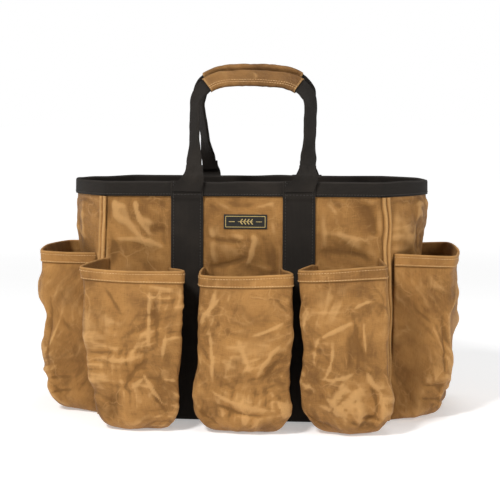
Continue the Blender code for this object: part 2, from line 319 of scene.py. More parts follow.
@dataclass
class ClothGrid:
    """A grid of a sheet's middle, with its flat coordinates and how sharply each point is creased."""

    points: Array
    crease: Array
    across: Array
    up: Array

    @classmethod
    def measured(cls, points: Array, crease: Array) -> "ClothGrid":
        """The grid whose flat coordinates are the lengths along its rows and columns."""
        return cls(points, crease, lengths_along(points, 1), lengths_along(points, 0))

    def turned(self) -> "ClothGrid":
        """The same grid half a turn about the bag's middle."""
        return ClothGrid(self.points * HALF_TURN, self.crease, self.across, self.up)

    def build(self, name: str, wall: float, material: bpy.types.Material,
              closed: bool = False) -> bpy.types.Object:
        """Makes the sheet's object with a UV map in metres, a crease attribute and a wall.

        Args:
            name: the piece's name.
            wall: its thickness.
            material: its finish.
            closed: joins the last column to the first.

        Returns:
            The new object.
        """
        rows, columns = self.points.shape[:2]
        faces = grid_faces(rows, columns, closed)
        obj = mesh_object(name, self.points, faces, material)
        mesh = obj.data
        across, up = self.across, self.up
        if closed:
            across, up = (np.concatenate([part, part[:, -1:] + np.diff(part, axis=1).mean()], axis=1)
                          for part in (across, up))
        corner = grid_faces(rows, across.shape[1])
        flat = np.stack([across.ravel()[corner], up.ravel()[corner]], axis=-1)
        layer = mesh.uv_layers.new(name="cloth")
        layer.data.foreach_set("uv", flat.astype(np.float32).ravel())
        attribute = mesh.attributes.new("crease", "FLOAT", "POINT")
        attribute.data.foreach_set("value", self.crease.astype(np.float32).ravel())
        thick = obj.modifiers.new("wall", "SOLIDIFY")
        thick.thickness = wall
        thick.offset = 0
        return obj


def creased(points: Array, lift: Array, crease_scale: float = 0.7 * MM, smoothing: int = 2) -> ClothGrid:
    """Pushes a grid along its normals and marks its ridges and valleys, where the canvas paints highlight and
    shade.

    Args:
        points: the smooth surface, (rows, columns, 3).
        lift: how far each point moves outwards.
        crease_scale: the height over its surroundings that counts as a full ridge.
        smoothing: how many grid steps away the surroundings are.

    Returns:
        The grid. Its crease is above zero on ridges and below it in valleys; it also rises with the lift itself,
        so raised areas get painted highlight and sunken ones painted shade.
    """
    moved = points + normals_of(points) * lift[..., None]
    padded = np.pad(lift, smoothing, mode="edge")
    around = np.zeros_like(lift)
    size = 2 * smoothing
    for down, right in ((0, smoothing), (size, smoothing), (smoothing, 0), (smoothing, size),
                        (0, 0), (0, size), (size, 0), (size, size)):
        around += padded[down:down + lift.shape[0], right:right + lift.shape[1]] / 8
    # Crease over the surroundings and over the lift: the canvas paints shade where the cloth is low and highlight
    # where it is high.
    crease = np.clip((lift - around) / crease_scale + lift / (9 * MM), -1, 1)
    return ClothGrid.measured(moved, crease)


def swept(path: Array, sides: Array, outs: Array, section: Array) -> Array:
    """A closed section carried along a path.

    Args:
        path: the path's points, (n, 3).
        sides: unit directions of the section's first coordinate, (n, 3).
        outs: unit directions of its second coordinate, (n, 3).
        section: its points, (m, 2), or (n, m, 2) where it changes along the path.

    Returns:
        The swept points, (n, m, 3).
    """
    shape = section if section.ndim == 3 else section[None]
    return path[:, None] + sides[:, None] * shape[..., :1] + outs[:, None] * shape[..., 1:]


def rounded_box(width: float, height: float, radius: float, across: int = 14, corner: int = 4) -> Array:
    """A rounded rectangle as a closed section, anticlockwise from its lower right.

    Args:
        width: along the first coordinate.
        height: along the second.
        radius: of its corners.
        across: points along each long side.
        corner: points round each corner.

    Returns:
        Its points, (n, 2).
    """
    a, b = width / 2 - radius, height / 2 - radius
    turn = np.linspace(0, np.pi / 2, corner)
    quarters = [turn + q * np.pi / 2 for q in range(4)]
    arcs = [np.stack([np.cos(q), np.sin(q)], -1) * radius for q in quarters]
    along = np.linspace(a, -a, across + 2)[1:-1]
    top, bottom = stack(along, b + radius), stack(-along, -b - radius)
    upper = [arcs[0] + [a, b], top, arcs[1] + [-a, b]]
    lower = [arcs[2] + [-a, -b], bottom, arcs[3] + [a, -b]]
    return np.concatenate([*upper, *lower])


def tube(name: str, points: Array, material: bpy.types.Material) -> bpy.types.Object:
    """A solid piece from swept sections, with a UV map in metres.

    Each end is closed by drawing its section in to nearly its middle and filling what is left.

    Args:
        name: the piece's name.
        points: swept sections, (n, m, 3).
        material: its finish.

    Returns:
        The new object.
    """
    ends = [points[i].mean(0) + (points[i] - points[i].mean(0)) * 0.02 for i in (0, -1)]
    points = np.concatenate([ends[0][None], points, ends[1][None]])
    rows, columns = points.shape[:2]
    faces = grid_faces(rows, columns, True)
    obj = mesh_object(name, points, faces, material)
    ring = np.concatenate([points, points[:, :1]], axis=1)
    across, up = lengths_along(ring, 1), lengths_along(ring, 0)
    corner = grid_faces(rows, columns + 1)
    flat = np.stack([across.ravel()[corner], up.ravel()[corner]], axis=-1)
    layer = obj.data.uv_layers.new(name="cloth")
    layer.data.foreach_set("uv", flat.astype(np.float32).ravel())
    crease = obj.data.attributes.new("crease", "FLOAT", "POINT")
    crease.data.foreach_set("value", np.zeros(rows * columns, np.float32))
    fill_ends(obj.data, rows, columns)
    return obj


def fill_ends(mesh: bpy.types.Mesh, rows: int, columns: int) -> None:
    """Adds a face over the first and the last ring of a tube's mesh, turned outwards.

    Args:
        mesh: the tube's mesh, whose points are numbered ring by ring.
        rows: its rings.
        columns: points in a ring.
    """
    bm = bmesh.new()
    bm.from_mesh(mesh)
    bm.verts.ensure_lookup_table()
    bm.faces.new([bm.verts[i] for i in range(columns)])
    bm.faces.new([bm.verts[(rows - 1) * columns + i] for i in reversed(range(columns))])
    bmesh.ops.recalc_face_normals(bm, faces=bm.faces)
    for face in bm.faces:
        face.smooth = True
    bm.to_mesh(mesh)
    bm.free()


def stitches(name: str, runs: list[tuple[Array, Array]], material: bpy.types.Material, pitch: float = 3.4 * MM,
             length: float = 2.7 * MM, radius: float = 0.33 * MM) -> bpy.types.Object:
    """Rows of thread stitches lying on cloth.

    Each stitch is a bow of four six-sided rings: its height over the cloth is a sine of the way along it.

    Args:
        name: the piece's name.
        runs: for each row its points and the cloth's unit normals there.
        material: the thread's finish.
        pitch: from one stitch to the next.
        length: of one stitch.
        radius: of the thread.

    Returns:
        One object with all the stitches.
    """
    rings, sides = 4, 6
    way = np.linspace(0, 1, rings)
    thick = radius * np.array([0.55, 1, 1, 0.55])
    turn = np.arange(sides) * 2 * np.pi / sides
    local = stack(
        (way[:, None] - 0.5) * length + turn * 0,
        thick[:, None] * np.cos(turn),
        thick[:, None] * np.sin(turn) + radius * (1.5 * np.sin(np.pi * way[:, None]) - 0.6),
    ).reshape(-1, 3)
    ring = grid_faces(rings, sides, True)
    caps = np.array([[0, 5, 4, 3], [0, 3, 2, 1], [18, 19, 20, 21], [18, 21, 22, 23]])
    base_faces = np.concatenate([ring[:, ::-1], caps[:, ::-1]])
    points, faces = [], []
    for line, normals in runs:
        run = np.concatenate([[0], np.cumsum(np.linalg.norm(np.diff(line, axis=0), axis=1))])
        count = max(1, int(run[-1] / pitch))
        at = (np.arange(count) + 0.5) * run[-1] / count
        centre = sampled(at, run, line)
        ahead = unit(sampled(at + length / 2, run, line) - sampled(at - length / 2, run, line))
        side = unit(np.cross(sampled(at, run, normals), ahead))
        out = np.cross(ahead, side)
        axes = np.stack([ahead, side, out], 1)
        points.append((centre[:, None] + np.einsum("pk,nkc->npc", local, axes)).reshape(-1, 3))
        faces.append((base_faces[None] + (np.arange(count) * len(local))[:, None, None]).reshape(-1, 4))
    shift = np.cumsum([0] + [len(p) for p in points[:-1]])
    all_faces = np.concatenate([f + s for f, s in zip(faces, shift)])
    return mesh_object(name, np.concatenate(points), all_faces, material)


# ---------------------------------------------------------------- finishes

SHEEN_ROUGHNESS = 0.5
SPECULAR_LEVEL = 0.22


class Value:
    """A number socket. Arithmetic on it adds Math nodes."""

    def __init__(self, maker: "Nodes", socket: bpy.types.NodeSocket) -> None:
        """Wraps a socket of a material that maker is building."""
        self.maker, self.socket = maker, socket

    def _math(self, operation: str, *terms: "Value | float") -> "Value":
        """A Math node over the terms."""
        return self.maker.add("ShaderNodeMath", {"operation": operation}, dict(enumerate(terms)))

    def __add__(self, other: "Value | float") -> "Value":
        """The sum."""
        return self._math("ADD", self, other)

    def __sub__(self, other: "Value | float") -> "Value":
        """The difference."""
        return self._math("SUBTRACT", self, other)

    def __rsub__(self, other: float) -> "Value":
        """The difference from a number."""
        return self._math("SUBTRACT", other, self)

    def __mul__(self, other: "Value | float") -> "Value":
        """The product."""
        return self._math("MULTIPLY", self, other)

    __radd__ = __add__
    __rmul__ = __mul__

    def sine(self) -> "Value":
        """Its sine."""
        return self._math("SINE", self)

    def over(self, low: float, high: float) -> "Value":
        """Smoothstep from low to high, as 0 to 1."""
        return self.maker.add("ShaderNodeMapRange", {"interpolation_type": "SMOOTHSTEP"},
                              {"Value": self, "From Min": low, "From Max": high})


@dataclass
class Nodes:
    """The node tree of one material, with its Principled shader."""

    name: str

    def __post_init__(self) -> None:
        """Makes the material with only its shader and output."""
        self.material = bpy.data.materials.new(self.name)
        self.material.use_nodes = True
        self.tree = self.material.node_tree
        self.shader = self.tree.nodes["Principled BSDF"]

    def add(self, kind: str, settings: dict[str, object], inputs: dict[str | int, object],
            out: str | int = 0) -> Value:
        """Adds a node.

        Args:
            kind: its type.
            settings: its properties, which are set first.
            inputs: values or links of its sockets.
            out: the output to return.

        Returns:
            That output.
        """
        node = self.tree.nodes.new(kind)
        for key, value in settings.items():
            setattr(node, key, value)
        for key, value in inputs.items():
            if isinstance(value, Value):
                self.tree.links.new(value.socket, node.inputs[key])
            else:
                node.inputs[key].default_value = value
        return Value(self, node.outputs[out])

    def noise(self, where: Value, scale: float, detail: float = 3.0, roughness: float = 0.55) -> Value:
        """Fractal noise, 0 to 1, at scale cycles a metre."""
        return self.add("ShaderNodeTexNoise", {}, {"Vector": where, "Scale": scale, "Detail": detail,
                                                   "Roughness": roughness})

    def mix(self, share: Value | float, low: object, high: object) -> Value:
        """A colour a share of the way from low to high."""
        return self.add("ShaderNodeMix", {"data_type": "RGBA"}, {0: share, 6: low, 7: high}, 2)

    def stretched(self, where: Value, scales: tuple[float, float, float]) -> Value:
        """Coordinates scaled on each axis."""
        return self.add("ShaderNodeMapping", {}, {"Vector": where, "Scale": scales})

    def cloth(self) -> tuple[Value, Value, Value, Value]:
        """The coordinates that a cloth's pattern follows.

        Returns:
            The flat coordinates in metres, their two parts, and the place on the object.
        """
        flat = self.add("ShaderNodeUVMap", {"uv_map": "cloth"}, {})
        across = self.add("ShaderNodeSeparateXYZ", {}, {0: flat}, 0)
        up = self.add("ShaderNodeSeparateXYZ", {}, {0: flat}, 1)
        return flat, across, up, self.add("ShaderNodeTexCoord", {}, {}, "Object")

    def finish(self, colour: Value, roughness: Value | float, height: Value, depth: float, sheen: float,
               strength: float = 1.0) -> bpy.types.Material:
        """Links the shader.

        Args:
            colour: the base colour.
            roughness: the roughness.
            height: the relief, 0 to 1.
            depth: the relief's depth in metres.
            sheen: the weight of the soft edge light.
            strength: of the relief.

        Returns:
            The material.
        """
        relief = self.add("ShaderNodeBump", {}, {"Height": height, "Distance": depth, "Strength": strength})
        links = {"Base Color": colour, "Roughness": roughness, "Normal": relief}
        for key, value in links.items():
            if isinstance(value, Value):
                self.tree.links.new(value.socket, self.shader.inputs[key])
            else:
                self.shader.inputs[key].default_value = value
        self.shader.inputs["Sheen Weight"].default_value = sheen
        self.shader.inputs["Sheen Roughness"].default_value = SHEEN_ROUGHNESS
        self.shader.inputs["Specular IOR Level"].default_value = SPECULAR_LEVEL
        return self.material


@dataclass(frozen=True)
class WaxedCanvas:
    """Waxed cotton duck: a plain weave of uneven yarns, with wax that lightens where it is creased, painted
    highlight on its ridges and painted shade in its valleys.
    """

    name: str = "waxed cotton duck"
    light: Colour = (0.440, 0.217, 0.061, 1)
    middle: Colour = (0.325, 0.152, 0.038, 1)
    dark: Colour = (0.150, 0.064, 0.013, 1)
    ridge: Colour = (0.700, 0.400, 0.150, 1)
    yarn: float = 0.62 * MM
    crackle_scale: float = 34.0
    fine_scale: float = 83.0
    relief_depth: float = 0.9 * MM
    sheen: float = 0.02

    def build(self) -> bpy.types.Material:
        """Blotches, then yarn slubs, painted shade in valleys, ridges lightened as creased wax with painted
        highlight, and fine crackle lines over the weave.

        The weave is sin(u) * sin(v) of the flat coordinates, and a crackle line is where a warped cell pattern's
        distance to its edge is nearly nothing.

        Returns:
            The material.
        """
        n = Nodes(self.name)
        flat, across, up, place_on = n.cloth()
        crease_wear_and_painted_light = n.add("ShaderNodeAttribute", {"attribute_name": "crease"}, {}, "Fac")
        blotch = n.noise(place_on, 19, 4, 0.6)
        cloud = n.noise(place_on, 62, 3, 0.6)
        slub_across = n.noise(n.stretched(flat, (90, 900, 1)), 1, 2)
        slub_up = n.noise(n.stretched(flat, (900, 90, 1)), 1, 2)
        slubs = slub_across + slub_up
        colour = n.mix(blotch.over(0.32, 0.66), self.dark, self.light)
        colour = n.mix(cloud.over(0.25, 0.75) * 0.55 + 0.12, colour, self.middle)
        colour = n.mix((slubs - 1.0).over(-0.02, 0.30) * 0.30, colour, self.light)
        colour = n.mix((1.0 - slubs).over(0.0, 0.32) * 0.34, colour, self.dark)
        # Painted shade: valleys and sunken areas take the dark colour. Ridges and raised areas take the ridge
        # colour, creased wax with painted highlight.
        colour = n.mix(crease_wear_and_painted_light.over(0.0, -0.9) * 0.66, colour, self.dark)
        colour = n.mix(crease_wear_and_painted_light.over(0.05, 1.1) * 0.50, colour, self.ridge)
        drift = n.add("ShaderNodeTexNoise", {},
                      {"Vector": place_on, "Scale": self.crackle_scale, "Detail": 2.0}, 1)
        warped = n.add("ShaderNodeVectorMath", {"operation": "MULTIPLY_ADD"},
                       {0: drift, 1: (0.035, 0.035, 0.035), 2: place_on})
        crackle, fine = (
            n.add("ShaderNodeTexVoronoi", {"feature": "DISTANCE_TO_EDGE"}, {"Vector": warped, "Scale": scale})
            for scale in (self.crackle_scale, self.fine_scale))
        worn = n.noise(place_on, 27, 2).over(0.50, 0.68)
        worn_fine = n.noise(place_on, 41, 2).over(0.52, 0.70)
        lines = (1.0 - crackle.over(0.0, 0.055)) * worn
        lines_fine = (1.0 - fine.over(0.0, 0.07)) * worn_fine
        colour = n.mix(lines * 0.24 + lines_fine * 0.15, colour, self.ridge)
        turn = 2 * math.pi / self.yarn
        weave = (across * turn).sine() * (up * turn).sine()
        colour = n.mix(weave.over(0.1, -0.9) * 0.22, colour, self.dark)
        relief = weave * 0.10 + slubs * 0.16 + lines * 0.26 + lines_fine * 0.16 + cloud * 0.30
        roughness = blotch * 0.22 + 0.50 - lines * 0.08
        return n.finish(colour, roughness, relief, self.relief_depth, self.sheen)


@dataclass(frozen=True)
class Webbing:
    """Spun cotton-look webbing: lengthwise ribs crossed by picks, charcoal with a brown cast."""

    name: str = "charcoal webbing"
    low: Colour = (0.0055, 0.0040, 0.0028, 1)
    high: Colour = (0.0185, 0.0135, 0.0092, 1)
    worn: Colour = (0.0260, 0.0195, 0.0140, 1)
    lint: Colour = (0.052, 0.042, 0.034, 1)
    rib: float = 1.5 * MM
    pick: float = 1.15 * MM
    relief_depth: float = 0.30 * MM
    sheen: float = 0.02

    def build(self) -> bpy.types.Material:
        """Ribs along the webbing, picks across it, and lint where it is rubbed.

        Returns:
            The material.
        """
        n = Nodes(self.name)
        flat, across, up, place_on = n.cloth()
        crease_wear_and_painted_light = n.add("ShaderNodeAttribute", {"attribute_name": "crease"}, {}, "Fac")
        ribs = (across * (2 * math.pi / self.rib)).sine()
        picks = (up * (2 * math.pi / self.pick) + ribs * 1.4).sine()
        weave = ribs * 0.35 + picks * 0.30 + 0.5
        fuzz = n.noise(place_on, 900, 2)
        wear = n.noise(place_on, 24, 3)
        colour = n.mix(weave.over(0.05, 0.95) * 0.55 + fuzz.over(0.35, 0.75) * 0.25, self.low, self.high)
        colour = n.mix(wear.over(0.42, 0.75) * 0.45, colour, self.worn)
        colour = n.mix(crease_wear_and_painted_light.over(0.1, 1.0) * 0.35, colour, self.lint)
        relief = weave * 0.7 + fuzz * 0.3
        return n.finish(colour, fuzz * 0.16 + 0.70, relief, self.relief_depth, self.sheen)


@dataclass(frozen=True)
class Thread:
    """Twisted sewing thread."""

    name: str
    low: Colour
    high: Colour
    relief_depth: float = 0.2 * MM
    sheen: float = 0.1

    def build(self) -> bpy.types.Material:
        """A fine mottle for the twist.

        Returns:
            The material.
        """
        n = Nodes(self.name)
        place_on = n.add("ShaderNodeTexCoord", {}, {}, "Object")
        twist = n.noise(place_on, 1400, 2)
        patch = n.noise(place_on, 55, 2)
        colour = n.mix(twist.over(0.3, 0.7) * 0.6 + patch.over(0.35, 0.65) * 0.4, self.low, self.high)
        return n.finish(colour, twist * 0.2 + 0.45, twist, self.relief_depth, self.sheen)


@dataclass(frozen=True)
class LabelWeave:
    """Satin-woven label cloth: fine picks across a dark ground, or a raised pale figure."""

    name: str
    low: Colour
    high: Colour
    pick: float = 0.35 * MM
    yarn: float = 0.6 * MM
    relief_depth: float = 0.12 * MM
    sheen: float = 0.15

    def build(self) -> bpy.types.Material:
        """Fine picks with a soft mottle.

        Returns:
            The material.
        """
        n = Nodes(self.name)
        place_on = n.add("ShaderNodeTexCoord", {}, {}, "Object")
        height = n.add("ShaderNodeSeparateXYZ", {}, {0: place_on}, 2)
        sideways = n.add("ShaderNodeSeparateXYZ", {}, {0: place_on}, 0)
        rows = (height * (2 * math.pi / self.pick)).sine()
        columns = (sideways * (2 * math.pi / self.yarn)).sine()
        picks = rows * 0.3 + columns * 0.2
        mottle = n.noise(place_on, 420, 2)
        colour = n.mix((picks + mottle).over(0.1, 0.9), self.low, self.high)
        return n.finish(colour, mottle * 0.2 + 0.5, picks + 0.5, self.relief_depth, self.sheen)


@dataclass(frozen=True)
class StiffBoard:
    """Pressed fibre board with a fine pebble and scuffs."""

    name: str = "pressed fibre board"
    crest: Colour = (0.100, 0.086, 0.070, 1)
    pit: Colour = (0.058, 0.050, 0.042, 1)
    mottled: Colour = (0.135, 0.118, 0.096, 1)
    scuffed: Colour = (0.22, 0.19, 0.16, 1)
    relief_depth: float = 0.25 * MM

    def build(self) -> bpy.types.Material:
        """Pebble relief, darker in its pits, and pale scuffs.

        Returns:
            The material.
        """
        n = Nodes(self.name)
        place_on = n.add("ShaderNodeTexCoord", {}, {}, "Object")
        pebble = n.add("ShaderNodeTexVoronoi", {"feature": "SMOOTH_F1"}, {"Vector": place_on, "Scale": 620.0})
        mottle = n.noise(place_on, 70, 4)
        scuff = n.noise(n.stretched(place_on, (40, 260, 40)), 1, 3).over(0.60, 0.74)
        colour = n.mix(pebble.over(0.1, 0.8), self.crest, self.pit)
        colour = n.mix(mottle.over(0.4, 0.7) * 0.4, colour, self.mottled)
        colour = n.mix(scuff * 0.35, colour, self.scuffed)
        return n.finish(colour, mottle * 0.25 + 0.5, 1.0 - pebble, self.relief_depth, 0.0, 0.6)


@dataclass
class Finishes:
    """The finishes that the pieces share."""

    canvas: bpy.types.Material = field(default_factory=lambda: WaxedCanvas().build())
    # The grip sleeves' canvas is the same canvas at about two thirds of its brightness: painted shade on the
    # grips.
    grip_canvas_painted_shade: bpy.types.Material = field(default_factory=lambda: WaxedCanvas(
        name="grip waxed cotton duck with painted shade", light=(0.290, 0.143, 0.042, 1), middle=(0.212, 0.100, 0.027, 1),
        dark=(0.098, 0.042, 0.010, 1), ridge=(0.480, 0.275, 0.105, 1)).build())
    webbing: bpy.types.Material = field(default_factory=lambda: Webbing().build())
    tan_thread: bpy.types.Material = field(default_factory=lambda: Thread(
        "tan thread", (0.46, 0.25, 0.09, 1), (0.80, 0.54, 0.27, 1)).build())
    dark_thread: bpy.types.Material = field(default_factory=lambda: Thread(
        "charcoal thread", (0.010, 0.009, 0.008, 1), (0.060, 0.052, 0.045, 1)).build())
    label_ground: bpy.types.Material = field(default_factory=lambda: LabelWeave(
        "label ground", (0.006, 0.006, 0.005, 1), (0.022, 0.020, 0.016, 1)).build())
    label_figure: bpy.types.Material = field(default_factory=lambda: LabelWeave(
        "label figure", (0.34, 0.24, 0.07, 1), (0.66, 0.50, 0.20, 1)).build())
    board: bpy.types.Material = field(default_factory=lambda: StiffBoard().build())


# ---------------------------------------------------------------- the bag's shape


@dataclass(frozen=True)
class BagShape:
    """The open body: four walls whose widths, depths and bows change evenly from the base to the rim."""

    height: float = 283 * MM
    base_width: float = 340 * MM
    rim_width: float = 322 * MM
    base_depth: float = 190 * MM
    rim_depth: float = 166 * MM
    base_bulge: float = 10 * MM
    rim_bulge: float = 54 * MM
    base_bow: float = 3 * MM
    rim_bow: float = -3 * MM
    strap_centre: float = 66 * MM
    binding_drop: float = 18.5 * MM
    corner_gap: float = -0.3 * MM
    hushed_margin: tuple[float, float] = (1 * MM, 13 * MM)

    @property
    def floor_z(self) -> float:
        """Middle of the bottom panel."""
        return WEBBING_WALL + SEAM_GAP + CANVAS_WALL / 2

    @property
    def foot_z(self) -> float:
        """Foot of the walls."""
        return self.floor_z + CANVAS_WALL / 2 + SEAM_GAP

    @property
    def top_z(self) -> float:
        """Top of the walls, inside the binding."""
        return self.height - WEBBING_WALL - SEAM_GAP

    @property
    def binding_z(self) -> float:
        """Lower edge of the rim binding."""
        return self.height - self.binding_drop

    def half_width(self, z: Array | float) -> Array | float:
        """From the middle to the corner seams: a straight line in z."""
        return blend(self.base_width, self.rim_width, z / self.height) / 2

    def half_depth(self, z: Array | float) -> Array | float:
        """From the middle to the front and back seams: a straight line in z."""
        return blend(self.base_depth, self.rim_depth, z / self.height) / 2

    def front_y(self, x: Array | float, z: Array | float) -> Array | float:
        """Middle of the front wall: a shallow parabola in x between the corner seams."""
        bow = blend(self.base_bow, self.rim_bow, z / self.height)
        return -self.half_depth(z) - bow * (1 - (x / self.half_width(z)) ** 2)

    def bulge(self, z: Array | float) -> Array | float:
        """How far the gusset stands out: a quarter sine in z."""
        return blend(self.base_bulge, self.rim_bulge, np.sin(np.pi / 2 * np.clip(z / self.height, 0, 1)))

    def side_x(self, y: Array | float, z: Array | float) -> Array | float:
        """Middle of the right gusset: a parabola in y between the corner seams."""
        return self.half_width(z) + self.bulge(z) * (1 - (y / self.half_depth(z)) ** 2)

    def side_normal(self, y: Array, z: Array) -> Array:
        """The gusset's outward direction in plan."""
        return unit(stack(1, 2 * self.bulge(z) * y / self.half_depth(z) ** 2, 0))

    def strap_offset(self, z: Array | float) -> Array:
        """From the wall's middle to the strap's: it steps out over the binding at the rim."""
        low = CANVAS_WALL / 2 + SEAM_GAP + WEBBING_WALL / 2
        return low + (WEBBING_WALL + SEAM_GAP) * ease(self.binding_z - 4.5 * MM, self.binding_z - 1.5 * MM, z)

    def strap_hush(self, x: Array) -> Array:
        """0 under the straps and 1 from 13 mm beside them, so that cloth lies flat where it is sewn."""
        near, far = (WEBBING_WIDTH / 2 + margin for margin in self.hushed_margin)
        return ease(near, far, np.abs(np.abs(x) - self.strap_centre))


SHAPE = BagShape()


@dataclass(frozen=True)
class Walls:
    """The front and back panels, the two gussets and the bottom panel.

    The lengths are the cloth's about its height and its widest lines, which set how fine the grids are.
    """

    step: float = 2.0 * MM
    cloth_height: float = 0.277
    panel_length: float = 0.33
    gusset_length: float = 0.21
    panel_crumple: tuple[float, float] = (2.3 * MM, 74 * MM)
    gusset_crumple: tuple[float, float] = (2.4 * MM, 66 * MM)
    label_patch: tuple[float, float] = (3 * MM, 0.235)
    front_folds: tuple[Fold, ...] = (
        Fold((-0.152, 0.214), (-0.092, 0.204), 2.6 * MM, 7 * MM, 3 * MM),
        Fold((-0.128, 0.268), (-0.112, 0.222), 2.4 * MM, 5 * MM, -5 * MM),
        Fold((-0.110, 0.224), (-0.088, 0.226), -2.2 * MM, 5 * MM),
        Fold((-0.150, 0.246), (-0.096, 0.192), 1.6 * MM, 9 * MM),
        Fold((-0.042, 0.216), (0.010, 0.212), -2.2 * MM, 5 * MM, -2 * MM),
        Fold((0.012, 0.222), (0.004, 0.184), 2.4 * MM, 4 * MM, 4 * MM),
        Fold((0.006, 0.194), (-0.044, 0.182), -2.6 * MM, 5 * MM, 3 * MM),
        Fold((0.044, 0.262), (0.006, 0.250), 1.8 * MM, 7 * MM, 2 * MM),
        Fold((0.008, 0.186), (0.044, 0.176), 1.8 * MM, 8 * MM),
        Fold((0.094, 0.262), (0.112, 0.240), 1.8 * MM, 6 * MM, 2 * MM),
        Fold((0.142, 0.258), (0.154, 0.222), -2.6 * MM, 8 * MM),
        Fold((0.090, 0.200), (0.150, 0.194), -2.6 * MM, 9 * MM, 3 * MM),
        Fold((0.096, 0.222), (0.150, 0.210), 1.6 * MM, 8 * MM, 3 * MM),
    )
    side_folds: tuple[Fold, ...] = (
        Fold((-0.036, 0.262), (-0.052, 0.214), 2.4 * MM, 6 * MM, 3 * MM),
        Fold((-0.016, 0.262), (0.004, 0.214), 2.2 * MM, 6 * MM),
        Fold((-0.046, 0.236), (-0.034, 0.196), -3.0 * MM, 9 * MM, 2 * MM),
        Fold((-0.062, 0.224), (-0.030, 0.182), 2.0 * MM, 6 * MM),
        Fold((0.018, 0.250), (0.040, 0.200), -2.6 * MM, 8 * MM),
        Fold((0.010, 0.226), (0.058, 0.212), 2.0 * MM, 6 * MM),
        Fold((0.044, 0.258), (0.052, 0.206), 2.2 * MM, 6 * MM),
    )

    def panel(self, seed: int, folds: tuple[Fold, ...]) -> ClothGrid:
        """The front panel: the wall's parabola, creased between its seams and straps and flat behind the label.

        Args:
            seed: of its creasing.
            folds: its own folds, in coordinates across from the bag's middle and up in height.

        Returns:
            The creased grid.
        """
        up = lines_between(0, 1, self.step / self.cloth_height)
        across = lines_between(-1, 1, 2 * self.step / self.panel_length)
        s, v = np.meshgrid(across, up)
        z = blend(SHAPE.foot_z, SHAPE.top_z, v)
        x = s * (SHAPE.half_width(z) - SHAPE.corner_gap)
        points = stack(x, SHAPE.front_y(x, z), z)
        lift = Crumple(seed, *self.panel_crumple).lift(x, z) + sum(f.lift(x, z) for f in folds)
        held = SHAPE.strap_hush(x) * ease(1.0, 0.93, np.abs(s)) * ease(SHAPE.binding_z + 1 * MM, 0.252, z)
        from_label_x, from_label_z = np.abs(x - self.label_patch[0]), np.abs(z - self.label_patch[1])
        label = 1 - ease(34 * MM, 24 * MM, from_label_x) * ease(20 * MM, 10 * MM, from_label_z)
        return creased(points, lift * held * label * ease(0, 0.05, v))

    def gusset(self, seed: int) -> ClothGrid:
        """The right gusset: the side's parabola, with folds that hang from the rim and fade behind its pocket.

        Args:
            seed: of its creasing.

        Returns:
            The creased grid.
        """
        up = lines_between(0, 1, self.step / self.cloth_height)
        across = lines_between(-1, 1, 2 * self.step / self.gusset_length)
        s, v = np.meshgrid(across, up)
        z = blend(SHAPE.foot_z, SHAPE.top_z, v)
        y = s * (SHAPE.half_depth(z) - SHAPE.corner_gap)
        points = stack(SHAPE.side_x(y, z), y, z)
        lift = Crumple(seed, *self.gusset_crumple).lift(y, z) + sum(f.lift(y, z) for f in self.side_folds)
        held = ease(1.0, 0.82, np.abs(s)) * ease(SHAPE.binding_z + 1 * MM, 0.254, z) * ease(0, 0.05, v)
        low = ease(0.150, 0.205, z)
        return creased(points, np.where(lift > 0, lift * blend(0.35, 1.0, low), lift) * held)

    def bottom(self, z: float, inset: float, step: float) -> ClothGrid:
        """A level plate inside the walls' foot: y runs between the bowed panels and x between the gussets.

        Args:
            z: its height.
            inset: how far inside the walls' middles it ends.
            step: its grid's spacing.

        Returns:
            The flat grid.
        """
        across, along = np.meshgrid(lines_between(-1, 1, 2 * step / 0.35), lines_between(-1, 1, 2 * step / 0.19))
        y = along * (SHAPE.half_depth(z) - inset)
        x = across * (SHAPE.side_x(y, z) - inset)
        level = stack(x, y * SHAPE.front_y(x, z) / SHAPE.front_y(SHAPE.half_width(z), z), z)
        return creased(level, np.zeros_like(x))

    def build(self, finishes: Finishes) -> None:
        """Makes the five sheets and gives the board its finish.

        Args:
            finishes: the shared finishes.
        """
        sheets = (
            ("front_panel_canvas", "front_panel", self.panel(11, self.front_folds)),
            ("back_panel_canvas", "back_panel", self.panel(23, self.front_folds[3:9]).turned()),
            ("right_gusset_canvas", "right_gusset", self.gusset(37)),
            ("left_gusset_canvas", "left_gusset", self.gusset(41).turned()),
            ("bottom_canvas", "base_panel", self.bottom(SHAPE.floor_z, 0.0, 3 * MM)),
        )
        for name, node, grid in sheets:
            place(grid.build(name, CANVAS_WALL, finishes.canvas), Body.BAG, Slot.CANVAS, node)
        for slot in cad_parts["base_board"].material_slots:
            slot.material = finishes.board


